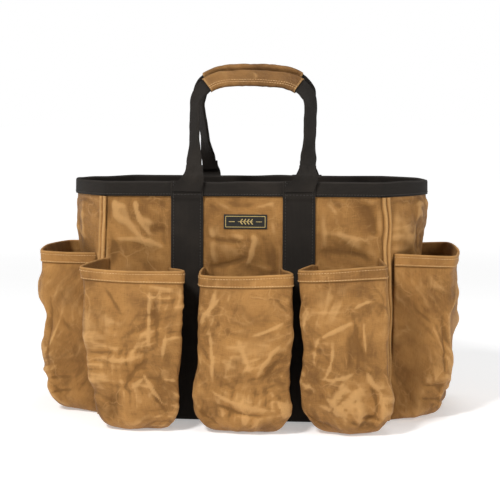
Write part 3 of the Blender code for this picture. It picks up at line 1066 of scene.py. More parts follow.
@dataclass(frozen=True)
class RimBinding:
    """Webbing folded lengthwise over the rim, one loop round the mouth, stitched near its lower edge."""

    step: float = 2.2 * MM
    side_length: float = 0.322
    end_length: float = 0.212
    wave: float = 0.9 * MM
    stitch_up: float = 2.6 * MM
    flattened: float = 0.8

    def loop(self, z: Array) -> tuple[Array, Array]:
        """The wall's middle round the bag, and its outward directions, on rows of heights.

        Each wall is taken at its own share of the way round. The directions turn gradually at the corners, as a
        running mean of seven grid steps.

        Args:
            z: heights of the rows.

        Returns:
            Points and outward directions, (rows, columns, 3).
        """
        ends, sides = int(self.end_length / self.step), int(self.side_length / self.step)
        sweep = np.linspace(1, -1, ends, endpoint=False)[None]
        row = z[:, None]
        y = sweep * SHAPE.half_depth(row)
        right = stack(SHAPE.side_x(y, row), y, row)
        right_out = SHAPE.side_normal(y, row + 0 * y)
        x = np.linspace(1, -1, sides, endpoint=False)[None] * SHAPE.half_width(row)
        front = stack(x, SHAPE.front_y(x, row), row)
        front_out = stack(0 * x, -1 + 0 * x, 0)
        points = np.concatenate([right, front, right * HALF_TURN, front * HALF_TURN], axis=1)
        outs = np.concatenate([right_out, front_out, right_out * HALF_TURN, front_out * HALF_TURN], axis=1)
        outs = unit(sum(np.roll(outs, k, axis=1) for k in range(-3, 4)))
        points = points * 0.5 + 0.25 * (np.roll(points, 1, axis=1) + np.roll(points, -1, axis=1))
        return points, outs

    def build(self, finishes: Finishes) -> None:
        """Makes the folded band and its two rows of stitches.

        In section the band climbs one face of the wall, goes over it on a slightly flattened half circle, and
        goes down the other face.

        Args:
            finishes: the shared finishes.
        """
        beside = CANVAS_WALL / 2 + SEAM_GAP + WEBBING_WALL / 2
        crown = SHAPE.height - WEBBING_WALL / 2
        climb = np.linspace(SHAPE.binding_z, crown - beside * self.flattened, 10)
        turn = np.linspace(0, np.pi, 7)[1:-1]
        offsets = np.concatenate([np.full(10, beside), beside * np.cos(turn), np.full(10, -beside)])
        heights = np.concatenate([climb, crown - beside * self.flattened * (1 - np.sin(turn)), climb[::-1]])
        middle, outs = self.loop(heights)
        columns = middle.shape[1]
        way = np.linspace(0, 2 * np.pi, columns, endpoint=False)
        sag = self.wave * (0.6 * np.sin(way * 7 + 0.6) + 0.4 * np.sin(way * 17 + 2.0)) * np.sin(way * 2) ** 2
        points = middle + outs * offsets[:, None, None]
        points[..., 2] += (sag - self.wave)[None] * ease(SHAPE.binding_z, SHAPE.height, heights)[:, None]
        rubbed = np.abs(np.abs(offsets) - beside * 0.85) < beside * 0.14
        crease = np.where(rubbed, 0.8, 0.0)[:, None] + 0 * points[..., 0]
        along, across = lengths_along(points, 1), lengths_along(points, 0)
        grid = ClothGrid(points[::-1], crease[::-1], across[::-1], along[::-1])
        band = grid.build("rim_binding_webbing", WEBBING_WALL, finishes.webbing, closed=True)
        place(band, Body.BAG, Slot.WEBBING, "rim_binding")
        runs = []
        for side in (1, -1):
            line, out = self.loop(np.array([SHAPE.binding_z + self.stitch_up]))
            surface = line[0] + out[0] * side * (beside + WEBBING_WALL / 2)
            runs.append((surface, out[0] * side))
        place(stitches("rim_binding_stitches", runs, finishes.dark_thread), Body.BAG, Slot.WEBBING)


@dataclass(frozen=True)
class CornerSeams:
    """The corner seams: both raw edges turned out and sewn down as two standing ridges with a groove between."""

    reach: float = 8.5 * MM
    ridge: float = 2.7 * MM
    wander: float = 1.3 * MM
    overhang: float = 1.2 * MM
    wall: float = 1.0 * MM
    step: float = 2.0 * MM
    columns: int = 29
    groove: int = 14
    drift_lengths: tuple[float, float, float] = (0.095, 0.052, 0.160)

    def ridges(self, seed: int) -> ClothGrid:
        """The front right seam.

        Across it, s runs from the gusset (0) round the corner (1). Its height over the wall is the sum of two
        bumps, each a power of a half sine, with a groove between them. The line wanders by a few slow sines.

        Args:
            seed: of its wandering.

        Returns:
            The seam's grid, with its ridges marked for painted highlight and its groove and edges for painted
            shade.
        """
        draw = np.random.default_rng(seed)
        z = lines_between(SHAPE.foot_z, SHAPE.binding_z - SEAM_GAP, self.step)
        s = np.linspace(0, 1, self.columns)
        across, up = np.meshgrid(s, z)
        phases = draw.uniform(0, 2 * np.pi, 3)
        drift = sum(np.sin(up * 2 * np.pi / length + p) / 2 for length, p in zip(self.drift_lengths, phases))
        held = ease(SHAPE.binding_z, SHAPE.binding_z - 0.02, up) * ease(0, 0.03, up)
        back = self.reach * (1 - across) + self.wander * (drift + 1) * held * (0.35 + 0.65 * across)
        y = -(SHAPE.half_depth(up) - back + self.overhang)
        low = CANVAS_WALL / 2 + SEAM_GAP + 0.5 * MM
        inner, outer = np.clip(across / 0.52, 0, 1), np.clip((across - 0.50) / 0.50, 0, 1)
        bumps = np.sin(np.pi * inner) ** 0.8 + 1.15 * np.sin(np.pi * outer) ** 0.7
        edge = ease(1.0, 0.96, across) * ease(0.0, 0.04, across)
        out = low + self.ridge * bumps * (0.25 + 0.75 * edge) * blend(0.85, 1.1, (drift + 1) / 2)
        face = np.clip(y, -SHAPE.half_depth(up), None)
        wall = stack(SHAPE.side_x(face, up), y, up)
        normal = unit(SHAPE.side_normal(face, up) + stack(0, -0.9 * across**2, 0))
        points = wall + normal * out[..., None]
        # Painted light: the ridges' tops take the canvas's pale crease colour, creased wax with painted
        # highlight, and the groove and the seam's edges take its valley colour as painted shade.
        crease_wear_and_painted_light = np.clip(bumps * 1.5 - 0.75, -1, 1)
        return ClothGrid.measured(points, crease_wear_and_painted_light)

    def build(self, finishes: Finishes) -> None:
        """Makes the four seams, each with a row of stitches in its groove.

        Args:
            finishes: the shared finishes.
        """
        mirrored = np.array([1.0, -1.0, 1.0])
        seams = (("front_right", 5, 1, False), ("back_left", 6, -1, False), ("back_right", 7, 1, True),
                 ("front_left", 8, -1, True))
        runs = []
        for name, seed, turn, mirror in seams:
            grid = self.ridges(seed)
            points = grid.points * (mirrored if mirror else 1) * (HALF_TURN if turn < 0 else 1)
            cut = [points, grid.crease, grid.across, grid.up]
            if mirror:
                cut = [part[:, ::-1] for part in cut]
            seam = ClothGrid(*cut)
            piece = seam.build(f"{name}_corner_ridges", self.wall, finishes.canvas)
            place(piece, Body.BAG, Slot.CANVAS, f"{name}_corner_seam")
            normals = normals_of(seam.points)[:, self.groove]
            runs.append((seam.points[:, self.groove] + normals * 0.6 * MM, normals))
        place(stitches("corner_seam_stitches", runs, finishes.tan_thread, 3.2 * MM), Body.BAG, Slot.CANVAS)


@dataclass(frozen=True)
class SlingStraps:
    """The two straps that run from the front rim down, under the base, and up to the back rim."""

    step: float = 2.4 * MM
    inset: float = 3.2 * MM
    under: float = 2.1 * MM

    def path(self, x: Array) -> Array:
        """The strap's middle from the front rim to the back.

        It follows the front wall at the strap's offset, turns under the base on a small arc, and is mirrored.

        Args:
            x: sideways places of its columns.

        Returns:
            The points, (rows, columns, 3).
        """
        foot = WEBBING_WALL / 2
        down = lines_between(0, 1, self.step / 0.28, (0.93, 0.945, 0.96))
        z = SHAPE.height - down * (SHAPE.height - foot - self.under)
        y = SHAPE.front_y(x[None], z[:, None]) - SHAPE.strap_offset(z)[:, None]
        wall = stack(x[None] + 0 * y, y, z[:, None] + 0 * y)
        turn = np.linspace(0, np.pi / 2, 6)[1:]
        last = wall[-1]
        inwards, down_again = (self.under * (1 - wave(turn))[:, None] for wave in (np.cos, np.sin))
        arc = stack(last[None, :, 0], last[None, :, 1] + inwards, foot + down_again)
        half = np.concatenate([wall, arc])
        flat = np.linspace(1, -1, 70)[1:-1]
        floor = stack(half[-1][None, :, 0], half[-1][None, :, 1] * flat[:, None], foot)
        back = half[::-1] * [1, -1, 1]
        return np.concatenate([half, floor, back])

    def build(self, finishes: Finishes) -> None:
        """Makes both straps, with a row of stitches inside each edge and two across each end at the rim.

        Args:
            finishes: the shared finishes.
        """
        runs = []
        for name, centre in (("right", SHAPE.strap_centre), ("left", -SHAPE.strap_centre)):
            x = centre + np.linspace(-WEBBING_WIDTH / 2, WEBBING_WIDTH / 2, 21)
            points = self.path(x)
            crease = np.zeros(points.shape[:2])
            crease[:, (0, -1)] = 0.7
            across, up = lengths_along(points, 1), lengths_along(points, 0)
            ribbon = ClothGrid(points[:, ::-1], crease, across[:, ::-1], up)
            strap = ribbon.build(f"{name}_sling_webbing", WEBBING_WALL, finishes.webbing)
            place(strap, Body.BAG, Slot.WEBBING, f"{name}_sling_strap")
            for side in (-1, 1):
                line = self.path(np.array([centre, centre + side * (WEBBING_WIDTH / 2 - self.inset)]))
                normals = unit(np.cross(np.gradient(line[:, 1], axis=0), ACROSS))
                from_middle = line[:, 1] - [centre, 0, SHAPE.height / 2]
                outward = np.where((normals * from_middle).sum(-1, keepdims=True) < 0, -1, 1)
                runs.append((line[:, 1] + normals * outward * (WEBBING_WALL / 2), normals * outward))
            for face in (-1, 1):
                for z in (SHAPE.binding_z + 2.2 * MM, SHAPE.height - 3.0 * MM):
                    reach = centre + np.linspace(-1, 1, 12) * (WEBBING_WIDTH / 2 - self.inset)
                    y = (SHAPE.front_y(reach, z) - SHAPE.strap_offset(z) - WEBBING_WALL / 2) * -face
                    runs.append((stack(reach, y, z), stack(0 * reach, face, 0)))
        place(stitches("strap_stitches", runs, finishes.dark_thread, 3.6 * MM), Body.BAG, Slot.WEBBING)


# ---------------------------------------------------------------- pockets


@dataclass(frozen=True)
class PocketCut:
    """How one box pocket is cut: the same sizes as its CAD solid, and its folds.

    Spreads are in widths of the bare gap that a strap leaves between pockets. Folds lie in coordinates across
    from the middle of the pocket's front, along the cloth, and up in height.
    """

    name: str
    depths: tuple[float, float]
    bow: float
    foot_spread: tuple[float, float]
    mouth_spread: tuple[float, float]
    mouth_heights: tuple[float, float]
    seed: int
    folds: tuple[Fold, ...]


LEFT_CUT = PocketCut(
    name="left", depths=(0.067, 0.067), bow=0.004, foot_spread=(0.00, 0.57), mouth_spread=(0.54, 0.73),
    mouth_heights=(0.190, 0.179), seed=101, folds=(
        Fold((0.018, 0.162), (0.017, 0.092), 2.8 * MM, 4.5 * MM, -1 * MM),
        Fold((0.023, 0.158), (0.025, 0.100), -2.6 * MM, 5 * MM),
        Fold((-0.030, 0.084), (0.006, 0.088), 2.2 * MM, 4 * MM, -3 * MM),
        Fold((0.012, 0.082), (-0.010, 0.052), -3.0 * MM, 4.5 * MM, -2 * MM),
        Fold((0.010, 0.068), (0.034, 0.026), 3.4 * MM, 4.5 * MM, 1 * MM),
        Fold((0.022, 0.044), (0.038, 0.022), -3.0 * MM, 4.5 * MM),
        Fold((-0.004, 0.050), (0.014, 0.066), 1.8 * MM, 5 * MM),
        Fold((-0.026, 0.166), (-0.010, 0.134), -1.6 * MM, 5 * MM),
        Fold((0.034, 0.116), (0.030, 0.082), 2.2 * MM, 5 * MM),
        Fold((0.030, 0.062), (0.048, 0.060), 1.8 * MM, 5 * MM),
        Fold((-0.026, 0.040), (-0.030, 0.014), -2.0 * MM, 5 * MM),
    ),
)
MIDDLE_CUT = PocketCut(
    name="middle", depths=(0.069, 0.069), bow=0.004, foot_spread=(0.16, 0.47), mouth_spread=(-0.07, 0.51),
    mouth_heights=(0.180, 0.180), seed=202, folds=(
        Fold((-0.048, 0.128), (-0.026, 0.156), 2.4 * MM, 4 * MM),
        Fold((-0.036, 0.118), (-0.031, 0.062), 2.0 * MM, 4 * MM, 1 * MM),
        Fold((0.004, 0.112), (0.042, 0.130), 1.8 * MM, 4.5 * MM, -2 * MM),
        Fold((-0.006, 0.110), (0.006, 0.078), 1.6 * MM, 4.5 * MM),
        Fold((0.014, 0.066), (0.036, 0.102), 2.4 * MM, 4 * MM, 2 * MM),
        Fold((0.020, 0.064), (0.040, 0.092), -1.8 * MM, 4.5 * MM),
        Fold((-0.030, 0.050), (0.028, 0.030), 3.2 * MM, 6 * MM, -4 * MM),
        Fold((-0.026, 0.036), (0.024, 0.024), -3.2 * MM, 5 * MM, -3 * MM),
        Fold((0.036, 0.040), (0.046, 0.022), 2.2 * MM, 4 * MM),
        Fold((-0.046, 0.026), (-0.030, 0.012), -2.4 * MM, 4 * MM),
        Fold((0.030, 0.158), (0.044, 0.140), -1.4 * MM, 6 * MM),
    ),
)
RIGHT_CUT = PocketCut(
    name="right", depths=(0.067, 0.067), bow=0.004, foot_spread=(0.33, 0.30), mouth_spread=(0.47, 0.21),
    mouth_heights=(0.184, 0.193), seed=303, folds=(
        Fold((0.008, 0.130), (-0.024, 0.112), 3.0 * MM, 4 * MM),
        Fold((0.010, 0.144), (0.034, 0.154), 2.4 * MM, 5 * MM, 2 * MM),
        Fold((0.011, 0.132), (0.014, 0.080), -3.4 * MM, 5 * MM, 2 * MM),
        Fold((0.021, 0.128), (0.022, 0.092), 2.6 * MM, 4.5 * MM),
        Fold((-0.026, 0.112), (-0.032, 0.080), 1.8 * MM, 5 * MM, -2 * MM),
        Fold((-0.012, 0.106), (-0.022, 0.064), 2.4 * MM, 4.5 * MM, 3 * MM),
        Fold((-0.024, 0.066), (0.010, 0.074), 2.0 * MM, 4.5 * MM, -3 * MM),
        Fold((0.022, 0.076), (0.036, 0.052), 2.4 * MM, 4.5 * MM, -2 * MM),
        Fold((0.010, 0.052), (0.014, 0.014), 3.0 * MM, 4.5 * MM, 2 * MM),
        Fold((0.026, 0.058), (0.030, 0.026), -3.0 * MM, 4 * MM, 3 * MM),
        Fold((0.036, 0.050), (0.040, 0.022), 2.4 * MM, 4 * MM),
        Fold((0.016, 0.024), (0.036, 0.020), -3.2 * MM, 4 * MM, 2 * MM),
        Fold((-0.020, 0.046), (-0.002, 0.028), 2.0 * MM, 5 * MM),
        Fold((-0.030, 0.140), (0.000, 0.142), 1.2 * MM, 6 * MM),
    ),
)
SIDE_CUT = PocketCut(
    name="side", depths=(0.066, 0.085), bow=0.007, foot_spread=(-0.10, -0.10), mouth_spread=(0.00, 0.00),
    mouth_heights=(0.196, 0.196), seed=404, folds=(
        Fold((-0.040, 0.168), (-0.052, 0.128), 2.4 * MM, 5 * MM),
        Fold((-0.058, 0.130), (-0.050, 0.062), 3.4 * MM, 5 * MM, 3 * MM),
        Fold((-0.068, 0.122), (-0.060, 0.058), -3.4 * MM, 5 * MM, 2 * MM),
        Fold((-0.084, 0.126), (-0.046, 0.060), 3.0 * MM, 5 * MM, -3 * MM),
        Fold((-0.030, 0.176), (-0.060, 0.120), 2.6 * MM, 5 * MM),
        Fold((-0.090, 0.044), (-0.058, 0.042), -3.0 * MM, 5 * MM),
        Fold((-0.060, 0.056), (-0.030, 0.040), 2.8 * MM, 5 * MM),
        Fold((-0.092, 0.028), (-0.060, 0.024), -2.8 * MM, 5 * MM),
        Fold((0.018, 0.170), (0.006, 0.112), 2.4 * MM, 6 * MM),
        Fold((-0.006, 0.120), (0.020, 0.056), 2.6 * MM, 6 * MM, 3 * MM),
        Fold((0.040, 0.150), (0.062, 0.090), 2.4 * MM, 6 * MM, -3 * MM),
        Fold((0.034, 0.070), (0.078, 0.048), -2.8 * MM, 6 * MM),
        Fold((-0.020, 0.060), (0.030, 0.030), 2.6 * MM, 6 * MM, 4 * MM),
    ),
)


@dataclass(frozen=True)
class Pocket:
    """A box pocket made from one sheet, whose top is turned outwards and sewn down as a hem."""

    cut: PocketCut
    step: float = 1.6 * MM
    floor_height: float = 1.6 * MM
    foot_radius: float = 20 * MM
    corner_radius: float = 33 * MM
    softness: float = 0.030
    hem: float = 12.7 * MM
    hem_fold: float = 0.75 * MM
    strap_gap: float = 42.1 * MM
    wall_clearance: float = 1.0 * MM
    knots: tuple[float, float, float] = (0.29, 0.5, 0.71)
    floor_share: float = 0.20
    foot_share: float = 0.33
    panel_seam: float = 4 * MM
    gusset_seam: float = 11.2 * MM
    crumple: tuple[float, float] = (2.9 * MM, 58 * MM)
    sag: float = 1.4 * MM
    lowest: float = 0.9 * MM
    stitch_pitch: float = 3.2 * MM
    stitch_length: float = 2.4 * MM
    stitch_radius: float = 0.30 * MM

    def edges(self, z: Array) -> tuple[Array, Array]:
        """The two sewn edges across the wall.

        Args:
            z: the heights.

        Returns:
            The left edge and the right one at each height.
        """
        inner = SHAPE.strap_centre - self.strap_gap / 2
        outer = SHAPE.strap_centre + self.strap_gap / 2
        corner = SHAPE.half_width(z) - self.panel_seam
        seam = SHAPE.half_depth(z) - self.gusset_seam
        return {"left": (-corner, -outer + 0 * z), "middle": (-inner + 0 * z, inner + 0 * z),
                "right": (outer + 0 * z, corner), "side": (-seam, seam)}[self.cut.name]

    def on_wall(self, a: Array, out: Array, z: Array) -> Array:
        """The point a across the wall and out in front of it.

        Args:
            a: sideways place, across the panel or across the gusset.
            out: distance in front of the wall.
            z: height.

        Returns:
            The points.
        """
        if self.cut.name == "side":
            gusset = SHAPE.side_x(a, z) + CANVAS_WALL / 2 + self.wall_clearance
            return stack(np.maximum(gusset, SHAPE.half_width(z) + out), a, z)
        reach = SHAPE.half_width(z)
        return stack(a, SHAPE.front_y(np.clip(a, -reach, reach), z) - CANVAS_WALL / 2 - out, z)

    def surface(self, u: Array, v: Array) -> Array:
        """The sheet's middle, before it is creased.

        In plan it is a line through five points, whose inner corners are rounded as hyperbolas: each length of it
        is a ramp (t + sqrt(t^2 + c^2)) / 2 that starts at one knot less the ramp that starts at the next. Upwards
        it is a floor, a quarter turn, and a wall that leans from the foot's outline to the mouth's.

        Args:
            u: share of the way from one sewn edge to the other.
            v: share of the way from the floor's back edge to the mouth.

        Returns:
            The points.
        """
        turn = np.clip((v - self.floor_share) / (self.foot_share - self.floor_share), 0, 1) * np.pi / 2
        top = blend(*self.cut.mouth_heights, u)
        z = self.floor_height + self.foot_radius * (1 - np.cos(turn))
        z = blend(z, top, np.clip((v - self.foot_share) / (1 - self.foot_share), 0, None))
        share = (z - self.floor_height) / (top - self.floor_height)
        inset = self.foot_radius * (1 - np.sin(turn))
        low = 1 - np.clip((z - self.floor_height) / self.corner_radius, 0, 1)
        narrow = np.maximum(inset, self.corner_radius * (1 - np.sqrt(1 - low**2)))
        left, right = self.edges(z)
        spreads = zip(self.cut.foot_spread, self.cut.mouth_spread)
        spread = [self.strap_gap * blend(foot, mouth, share) for foot, mouth in spreads]
        far_left, far_right = left - spread[0] + narrow, right + spread[1] - narrow
        out = blend(*self.cut.depths, share) - inset
        bends = [(u - k + np.sqrt((u - k) ** 2 + self.softness**2)) / 2 for k in self.knots]
        ramps = [u, *bends, 0 * u]
        stops = (0.0, *self.knots, 1.0)
        a = left
        forward = 0 * u
        middle = (far_left + far_right) / 2
        corners = ((left, 0), (far_left, out), (middle, out + self.cut.bow), (far_right, out), (right, 0))
        for i, (here, there) in enumerate(zip(corners, corners[1:])):
            run = (ramps[i] - ramps[i + 1]) / (stops[i + 1] - stops[i])
            a = a + (there[0] - here[0]) * run
            forward = forward + (there[1] - here[1]) * run
        back = np.clip(v / self.floor_share, 0, 1)
        a = blend(blend(left, right, u), a, back)
        forward = blend(0, forward, back)
        return self.on_wall(a, np.maximum(forward, 0) + self.wall_clearance, z)

    def flat_width(self) -> float:
        """Length of the cloth round the pocket's front at half its height."""
        u = np.linspace(0, 1, 200)
        return float(lengths_along(self.surface(u, 0 * u + 0.7)[None], 1)[0, -1])

    def sheet(self, seed: int, folds: tuple[Fold, ...]) -> tuple[ClothGrid, int, Array]:
        """The creased sheet with its hem turned down outside.

        Past the mouth the sheet goes over a half circle, away from the wall, and back down on its own outside.

        Args:
            seed: of its creasing.
            folds: its own folds.

        Returns:
            The grid, its first hem row, and each row's distance below the mouth.
        """
        tall = blend(*self.cut.mouth_heights, 0.5) / (1 - self.foot_share) * 0.9
        main = lines_between(0, 1, self.step / tall)
        around = np.linspace(0, np.pi, 7)[1:-1]
        down = lines_between(0, self.hem, 1.3 * MM)
        v = np.concatenate([main, np.ones(5), 1 - down / tall])
        offset = np.concatenate([0 * main, self.hem_fold * (1 - np.cos(around)), 2 * self.hem_fold + 0 * down])
        rise = np.concatenate([0 * main, self.hem_fold * np.sin(around), 0 * down])
        width = self.flat_width()
        uu, vv = np.meshgrid(lines_between(0, 1, self.step / width), v)
        points = self.surface(uu, vv)
        nudge = 1e-3
        sideways = self.surface(uu + nudge, vv) - self.surface(uu - nudge, vv)
        upward = self.surface(uu, vv + nudge) - self.surface(uu, vv - nudge)
        normals = unit(np.cross(sideways, upward))
        a, z = (uu - 0.5) * width, points[..., 2]
        lift = Crumple(seed, *self.crumple).lift(a, vv * tall)
        lift = lift + sum(fold.lift(a, z) for fold in folds)
        sewn = ease(0, 0.06, uu) * ease(1, 0.94, uu)
        returns = blend(0.55, 1.0, ease(0.20, 0.32, uu) * ease(0.80, 0.68, uu))
        mouth = blend(0.35, 1.0, ease(1.0, 0.86, vv))
        low = blend(0.10, 1.0, ease(self.floor_share, self.foot_share * 0.92, vv))
        lift = lift * sewn * returns * mouth * low * blend(1.35, 1.0, ease(0.03, 0.09, z))
        sag = self.sag * np.sin(uu * 2 * np.pi * 1.5 + seed) * ease(0.9, 1.0, vv) * sewn
        points = points + normals * (lift + offset[:, None])[..., None]
        points[..., 2] = np.maximum(points[..., 2] + rise[:, None] + sag, self.lowest)
        padded = np.pad(lift, 1, mode="edge")
        rows, columns = lift.shape
        around_it = sum(padded[i:i + rows, j:j + columns] for i in (0, 1, 2) for j in (0, 1, 2)) / 9
        # As in creased(): ridges and raised parts get the canvas's pale crease colour, creased wax with painted
        # highlight; valleys and sunken parts get painted shade.
        crease = np.clip((lift - around_it) / (0.22 * MM) + lift / (9 * MM), -1, 1)
        over = len(main)
        # The fold over the mouth and the hem's lower edge are marked pale: creased wax with a painted highlight
        # along each edge.
        crease[over - 1:over + 6] = np.maximum(crease[over - 1:over + 6], 0.55)
        crease[-2:] = 0.6
        # Painted shadow of the hem: the rows just under its lower edge take the valley colour.
        below = self.hem + self.step * 1.5
        shade = (vv[:over] > 1 - below / tall) & (vv[:over] < 1 - self.hem / tall)
        crease[:over][shade] = -0.45
        return ClothGrid.measured(points, crease), over + 5, down

    def runs(self, grid: ClothGrid, first: int, down: Array, depth: float) -> tuple[Array, Array]:
        """A row of stitches on the hem.

        Args:
            grid: the pocket's grid.
            first: its first hem row.
            down: each hem row's distance below the mouth.
            depth: the stitches' distance below it.

        Returns:
            Points on the hem's face, and its outward normals there.
        """
        row = first + int(np.argmin(np.abs(down - depth)))
        outward = -normals_of(grid.points)[row]
        return grid.points[row] + outward * CANVAS_WALL / 2, outward

    def build(self, finishes: Finishes) -> None:
        """Makes this pocket and its opposite one with their hem stitches.

        Args:
            finishes: the shared finishes.
        """
        opposite = {"left": "right", "middle": "middle", "right": "left", "side": "side"}[self.cut.name]
        if self.cut.name == "side":
            names = ("right_side_pocket", "left_side_pocket")
        else:
            names = (f"front_pocket_{self.cut.name}", f"back_pocket_{opposite}")
        for name, seed, folds, turned in ((names[0], self.cut.seed, self.cut.folds, False),
                                          (names[1], self.cut.seed + 7, self.cut.folds[1::2], True)):
            if self.cut.name == "side" and turned:
                folds = tuple(Fold((-f.start[0], f.start[1]), (-f.end[0], f.end[1]), f.height, f.width, -f.bend)
                              for f in self.cut.folds)
            grid, first, down = self.sheet(seed, folds)
            grid = grid.turned() if turned else grid
            piece = grid.build(f"{name}_canvas", CANVAS_WALL, finishes.canvas)
            place(piece, Body.BAG, Slot.CANVAS, name)
            rows = [self.runs(grid, first, down, depth) for depth in (2.2 * MM, self.hem - 1.9 * MM)]
            thread = stitches(f"{name}_stitches", rows, finishes.tan_thread,
                              self.stitch_pitch, self.stitch_length, self.stitch_radius)
            place(thread, Body.BAG, Slot.CANVAS)


# ---------------------------------------------------------------- label


@dataclass(frozen=True)
class WovenLabel:
    """The label on the front panel: a dark ground with a pale border and a plain leaf sprig."""

    width: float = 51 * MM
    height: float = 17 * MM
    centre_x: float = 3 * MM
    centre_z: float = 235 * MM
    wall: float = 0.8 * MM
    margin: float = 4.4 * MM
    border_line: float = 0.75 * MM
    stem_line: float = 0.55 * MM
    bar_line: float = 0.8 * MM
    leaf_line: float = 1.25 * MM
    leaf_places: tuple[float, ...] = (-6, -2, 2, 6)

    def on_front(self, a: Array, b: Array, out: Array | float) -> Array:
        """The point a across and b up from the label's middle, out from the panel's face."""
        x, z = self.centre_x + a, self.centre_z + b
        return stack(x, SHAPE.front_y(x, z) - CANVAS_WALL / 2 - SEAM_GAP - out, z)

    def line(self, path: Array, width: float) -> Array:
        """A raised woven line: a rounded section carried along a path.

        Args:
            path: label coordinates, (n, 2).
            width: of the line.

        Returns:
            The swept points, (n, m, 3).
        """
        points = self.on_front(path[:, 0], path[:, 1], self.wall)
        ahead = unit(np.gradient(points, axis=0))
        out = np.array([[0.0, -1.0, 0.0]]) + 0 * ahead
        return swept(points, unit(np.cross(ahead, out)), out, rounded_box(width, 0.5 * MM, 0.2 * MM, 3, 3))

    def build(self, finishes: Finishes) -> None:
        """Makes the ground, the border and the sprig.

        Args:
            finishes: the shared finishes.
        """
        a, b = np.meshgrid(np.linspace(-1, 1, 60) * self.width / 2, np.linspace(-1, 1, 24) * self.height / 2)
        bow = 0.25 * MM * np.sin(a / self.width * 7) * np.cos(b / self.height * 3)
        points = self.on_front(a, b, self.wall / 2 + bow * 0.4 + 0.1 * MM)
        ground = ClothGrid(points, 0 * a, a, b).build("label_ground", self.wall, finishes.label_ground)
        place(ground, Body.BAG, Slot.LABEL, "woven_label")
        border = rounded_box(self.width - self.margin, self.height - self.margin, 0.6 * MM, 30, 4)
        border = np.concatenate([border, border[:2]])
        figures = [self.line(border, self.border_line)]
        stem = stack(np.linspace(-9, 9, 24) * MM, 0.35 * MM * np.sin(np.linspace(0, np.pi, 24)))
        figures.append(self.line(stem, self.stem_line))
        for side in (-1, 1):
            bar = stack(np.linspace(12.5, 19.5, 12) * MM * side, 0 * np.linspace(0, 1, 12))
            figures.append(self.line(bar, self.bar_line))
            for place_on in self.leaf_places:
                out = np.linspace(0, 1, 10)
                leaf = stack((place_on + 2.6 * out) * MM, side * 3.1 * MM * out)
                figures.append(self.line(leaf, self.leaf_line))
        for index, figure in enumerate(figures):
            name = "label_border" if index == 0 else f"label_sprig_{index:02d}"
            place(tube(name, figure, finishes.label_figure), Body.BAG, Slot.LABEL)


# ---------------------------------------------------------------- handles


